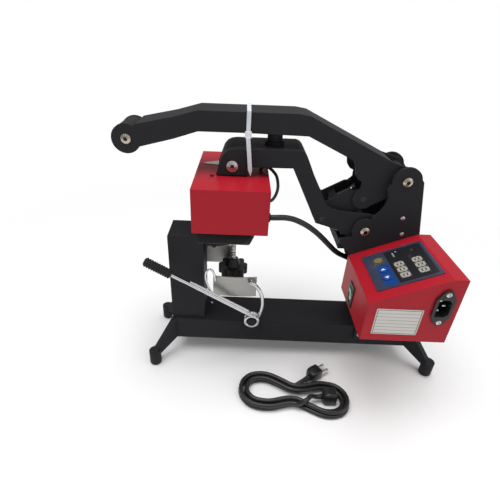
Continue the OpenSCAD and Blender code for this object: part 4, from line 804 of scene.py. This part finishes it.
settle(solid("screw_core", screw_core, zinc), "screw", "zinc", "pressure_screw")
settle(THREAD.run("screw_thread", [screw_at - Vector((0, 0, mm(0.5)))], zinc,
                  Radius=mm(3.42), Pitch=mm(1.5), Turns=30.0), "screw", "zinc")


# ---------------------------------------------------------------- panel parts

def bar(name, length, width, height, look):
    """A pattern bar with pointed ends, lying on Z = 0 along X."""
    tip = width / 2
    outline = [(-length / 2, 0), (-length / 2 + tip, -tip), (length / 2 - tip, -tip), (length / 2, 0),
               (length / 2 - tip, tip), (-length / 2 + tip, tip)]
    return solid(name, lambda work: prism(work, mm_pairs(outline), 0, mm(height)), look, smooth=False)


def repeat(name, pattern, spots, look, turns):
    """Copies of the pattern on the spots as one mesh; the pattern itself is removed."""
    piece = REPEAT.run(name, spots, look, turns=turns, Pattern=pattern)
    bpy.data.objects.remove(pattern)
    return piece


WINDOW_U, WINDOW_V = (51.5, 72.5), -96.0
DIGIT_STEP, DIGIT_L, DIGIT_W = 11, 11.0, 9.4
SEG_W, SEG_T, SEG_JOIN = 2.6, 0.12, 1.5
TOP_H = PANEL_T + 0.35  # just over the windows
half_l, half_w = (DIGIT_L - SEG_W) / 2, (DIGIT_W - SEG_W) / 2
level = (0, -SLOPE, 0)
crosswise = tuple((Matrix.Rotation(-SLOPE, 3, "Y") @ Matrix.Rotation(math.pi / 2, 3, "Z")).to_euler())
across_spots, along_spots = [], []
for u in WINDOW_U:
    for v in (WINDOW_V - DIGIT_STEP, WINDOW_V, WINDOW_V + DIGIT_STEP):
        across_spots += [on_panel(u + s * half_l, v, TOP_H) for s in (-1, 0, 1)]
        along_spots += [on_panel(u + s * half_l / 2, v + w * half_w, TOP_H)
                        for s in (-1, 1) for w in (-1, 1)]
long_bar = bar("digit_bar", half_l + SEG_JOIN, SEG_W, SEG_T, segment_grey)
wide_bar = bar("digit_bar", DIGIT_W - SEG_W + SEG_JOIN, SEG_W, SEG_T, segment_grey)
for name, pattern, spots, turn in (("digits_along", long_bar, along_spots, level),
                                   ("digits_across", wide_bar, across_spots, crosswise)):
    settle(repeat(name, pattern, spots, segment_grey, [turn] * len(spots)), "base", "window")

slope_turn = Matrix.Rotation(-SLOPE, 4, "Y")


MARK_T = 0.1
KEY_TOP = PANEL_T + 0.9


def arrow(work, v, way):
    """The mark on a key: a blunt wedge that points across the press, to +Y for way 1."""
    place = Matrix.Translation(on_panel(31.5, v, KEY_TOP)) @ slope_turn
    outline = [(-2.6, -1.5 * way), (2.6, -1.5 * way), (0.4, 1.9 * way), (-0.4, 1.9 * way)]
    prism(work, mm_pairs(outline if way > 0 else outline[::-1]), 0, mm(MARK_T), place)


settle(solid("up_mark", lambda work: arrow(work, -87.5, 1), mark_white), "up_key", "window")
settle(solid("down_mark", lambda work: arrow(work, -103.5, -1), mark_white), "down_key", "window")

LAMP_SUNK, LAMP_RISE = 0.3, 0.9


def lamp(name, u, v, look, radius):
    """A small domed lamp that stands out of the faceplate."""
    def build(work):
        place = Matrix.Translation(on_panel(u, v, PANEL_T - LAMP_SUNK)) @ slope_turn
        dome = [(radius, 0)] + [(radius * share, LAMP_SUNK + LAMP_RISE * up) for share, up in
                                ((1, 0.4), (0.82, 0.78), (0.42, 0.97), (0.1, 1))]
        turned(work, mm_pairs(dome), place, 24)
    return settle(solid(name, build, look), "base", "window")


lamp("lamp_left", 55.5, -58.5, clear_lens, 1.2)
lamp("lamp_right", 73.5, -63.5, dark_lens, 1.3)


def light_bar(work):
    """A clear strip beside the lower window."""
    place = Matrix.Translation(on_panel(51, -64, PANEL_T - 0.2)) @ slope_turn
    prism(work, mm_pairs(rounded(1.7, 9, 0.7)), 0, mm(0.6), place)


settle(solid("light_bar", light_bar, clear_lens), "base", "window")


PLATE_MID, PLATE_SIZE = (199.5, 175.5), (53.5, 38)
PLATE_Y = -136.98  # just inside the box's near side
RULES = (-12.5, -7.5, -2.5, 2.5, 7.5, 12.5)


def rating_plate(work):
    """The blank plate on the box's near side."""
    middle = at(PLATE_MID[0], PLATE_Y, PLATE_MID[1])
    place = Matrix.Translation(middle) @ Matrix.Rotation(math.pi / 2, 4, "X")
    prism(work, mm_pairs(rounded(*PLATE_SIZE, 1.5)), 0, mm(0.5), place)


def blank_plate():
    """A blank plate with a thin ruled frame and empty lines."""
    look = Look("blank_plate", (0.60, 0.58, 0.54), 0.50, metallic=0.2, specular=0.3)
    x, _, z = look.on_press()
    dx, dz = x - PLATE_MID[0], z - PLATE_MID[1]
    ax, az = look.math("ABSOLUTE", dx), look.math("ABSOLUTE", dz)
    # the frame's line lies between two insets from the plate's edge
    outer, inner = ((ax < PLATE_SIZE[0] / 2 - inset) * (az < PLATE_SIZE[1] / 2 - inset)
                    for inset in (1.2, 1.9))
    rules = 0.0
    for height in RULES:
        rules = (look.math("ABSOLUTE", dz - height) < 0.35) + rules
    ink = outer - inner + inner * rules * 0.55
    brushing = look.noise(1.0, 3, look.stretched((60, 60, 900)))
    base = look.between(brushing, (0.52, 0.50, 0.47), (0.62, 0.60, 0.57))
    look.set("Base Color", look.between(ink, base, (0.06, 0.06, 0.06)))
    return look.relief(look.noise(900, 2), 0.00001)


settle(solid("rating_plate", rating_plate, blank_plate(), mm(0.12)), "base", "zinc")


# ---------------------------------------------------------------- small trim

def pan_head(radius, height, look):
    """A pan head with a cross slot, standing on Z = 0, as a pattern."""
    def dome(work):
        profile = [(radius * share, height * up) for share, up in
                   ((1, 0), (1, 0.3), (0.9, 0.65), (0.62, 0.9), (0.2, 1))]
        turned(work, mm_pairs(profile), Matrix.Identity(4), 32)

    def cross(work):
        for size in ((radius * 1.3, radius * 0.3), (radius * 0.3, radius * 1.3)):
            prism(work, mm_pairs(rounded(*size, radius * 0.05, 1)), mm(height * 0.5), mm(height * 1.5))

    head, cutter = solid("pattern", dome, look), solid("cutter", cross, look)
    cut = head.modifiers.new("slot", "BOOLEAN")
    cut.object, cut.operation, cut.solver = cutter, "DIFFERENCE", "EXACT"
    applied(head)
    bpy.data.objects.remove(cutter)
    return head


for name, radius, height, look, spot, body in (
        ("head_top_screw", 2.6, 1.6, black_paint, at(-25, -28, 306), "head"),
        ("beam_top_screw", 2.2, 1.3, zinc, at(-29.8, 11.9, 70), "base")):
    settle(repeat(name, pan_head(radius, height, look), [spot], look, [(0, 0, 0.4)]), body, "zinc")


def steel_tab(work):
    """A bent tongue of bright sheet under the hanger, pointing to the handle side."""
    stations = ((-17.5, 23, 306.3, 15), (-23, 22.2, 306.3, 13.5), (-29, 21, 306.4, 10),
                (-35, 19.8, 306.5, 6), (-40, 18.8, 306.6, 1.6))  # x, y, z and the width there
    corners = ((-1, -0.5), (1, -0.1), (1, 0.7), (-1, 0.3))  # share of the half width, and height
    skin(work, [[work.verts.new(at(x, y + a * w / 2, z + b)) for a, b in corners]
                for x, y, z, w in stations])


settle(solid("steel_tab", steel_tab, dull_tab, mm(0.15)), "head", "zinc")


RING_SIDES = 28


def rocker_marks(work):
    """The line and the ring on the two ends of the rocker."""
    # The rocker's front runs from its standing upper edge to its axis and on to its lower edge.
    upper, axis, lower = (158.2, 178.7), (160.6, 168.0), (161.0, 157.3)
    for top, low, kind in ((upper, axis, "line"), (axis, lower, "ring")):
        a, b = Vector((top[0], 0, top[1])), Vector((low[0], 0, low[1]))
        down = (b - a).normalized()
        outwards = Vector((down.z, 0, -down.x))
        middle = (a + b) / 2 + Vector((0, -78, 0)) + outwards * 0.02
        place = Matrix.Translation(at(*middle)) @ Matrix(
            ((0, down.x, outwards.x, 0), (1, 0, 0, 0), (0, down.z, outwards.z, 0), (0, 0, 0, 1)))
        if kind == "line":
            prism(work, mm_pairs(rounded(0.8, 4.2, 0.3, 2)), 0, mm(MARK_T), place)
        else:
            rims = [[work.verts.new(place @ Vector((x, y, h))) for x, y in circle_of(radius, RING_SIDES)]
                    for radius in (mm(2.0), mm(1.35)) for h in (0, mm(MARK_T))]
            for i in range(RING_SIDES):
                j = (i + 1) % RING_SIDES
                for p, q in ((0, 1), (1, 3), (3, 2), (2, 0)):
                    work.faces.new((rims[p][i], rims[p][j], rims[q][j], rims[q][i]))


settle(solid("rocker_marks", rocker_marks, mark_white, smooth=False), "rocker", "window")


# ---------------------------------------------------------------- floor and light

floor_look = Look("pale_floor", (0.90, 0.90, 0.90), 0.9, specular=0.1)
floor_look.vary(3, 0.01)
floor_x, floor_y, _ = floor_look.on_press()
reach = floor_look.math("SQRT", floor_x * floor_x + floor_y * floor_y)
# The floor fades to the white of the paper between these two distances in millimetres.
away = floor_look.node("ShaderNodeMapRange", {"interpolation_type": "SMOOTHSTEP"},
                       {"Value": reach, "From Min": 330.0, "From Max": 900.0})
by_eye = floor_look.node("ShaderNodeLightPath", out="Is Camera Ray")
paper = floor_look.node("ShaderNodeEmission", None, {"Color": (1, 1, 1, 1), "Strength": 1.0})
ground = Wired(floor_look, floor_look.shader.outputs[0])
floor_look.feed(floor_look.group.nodes["Material Output"].inputs[0],
                floor_look.node("ShaderNodeMixShader", None, {0: away * by_eye, 1: ground, 2: paper}))


def floor_disc(work):
    """A disc of 6 m radius, just under the feet."""
    turned(work, [(6.0, -0.02), (6.0, 0.0)], Matrix.Translation((0, 0, -0.0002)), 96)


floor = solid("pale_floor", floor_disc, floor_look, smooth=False)

world = bpy.data.worlds.new("studio")
bpy.context.scene.world = world
world.use_nodes = True
sky = Tree(world.node_tree)
seen = sky.math("MAXIMUM", *(sky.node("ShaderNodeLightPath", out=kind)
                             for kind in ("Is Camera Ray", "Is Transmission Ray")))
# The light from around comes more from the right, as in the photo.
direction = sky.node("ShaderNodeTexCoord", out="Generated")
from_right = sky.node("ShaderNodeSeparateXYZ", None, {0: direction})
soft = sky.node("ShaderNodeBackground", None,
                {"Color": (1, 1, 1, 1), "Strength": from_right * 0.22 + 0.48})
white = sky.node("ShaderNodeBackground", None, {"Color": (1, 1, 1, 1), "Strength": 1.0})
sky.feed(world.node_tree.nodes["World Output"].inputs[0],
         sky.node("ShaderNodeMixShader", None, {0: seen, 1: soft, 2: white}))


def area_lamp(name, place, target, size, power):
    """A round soft lamp that shines on the target."""
    lamp_data = bpy.data.lights.new(name, "AREA")
    lamp_data.shape, lamp_data.size, lamp_data.energy = "DISK", size, power
    lamp_object = bpy.data.objects.new(name, lamp_data)
    bpy.context.scene.collection.objects.link(lamp_object)
    lamp_object.matrix_world = facing(place, Vector(target) - Vector(place), "-Z")


area_lamp("key", (-0.6, -0.35, 1.9), (0, 0, 0.15), 1.3, 20)
area_lamp("fill", (1.3, -0.7, 1.3), (0, 0, 0.15), 1.6, 4)
area_lamp("top", (0.25, 0.1, 2.1), (0, 0, 0.2), 1.2, 14)

bpy.context.scene.view_settings.view_transform = "Standard"
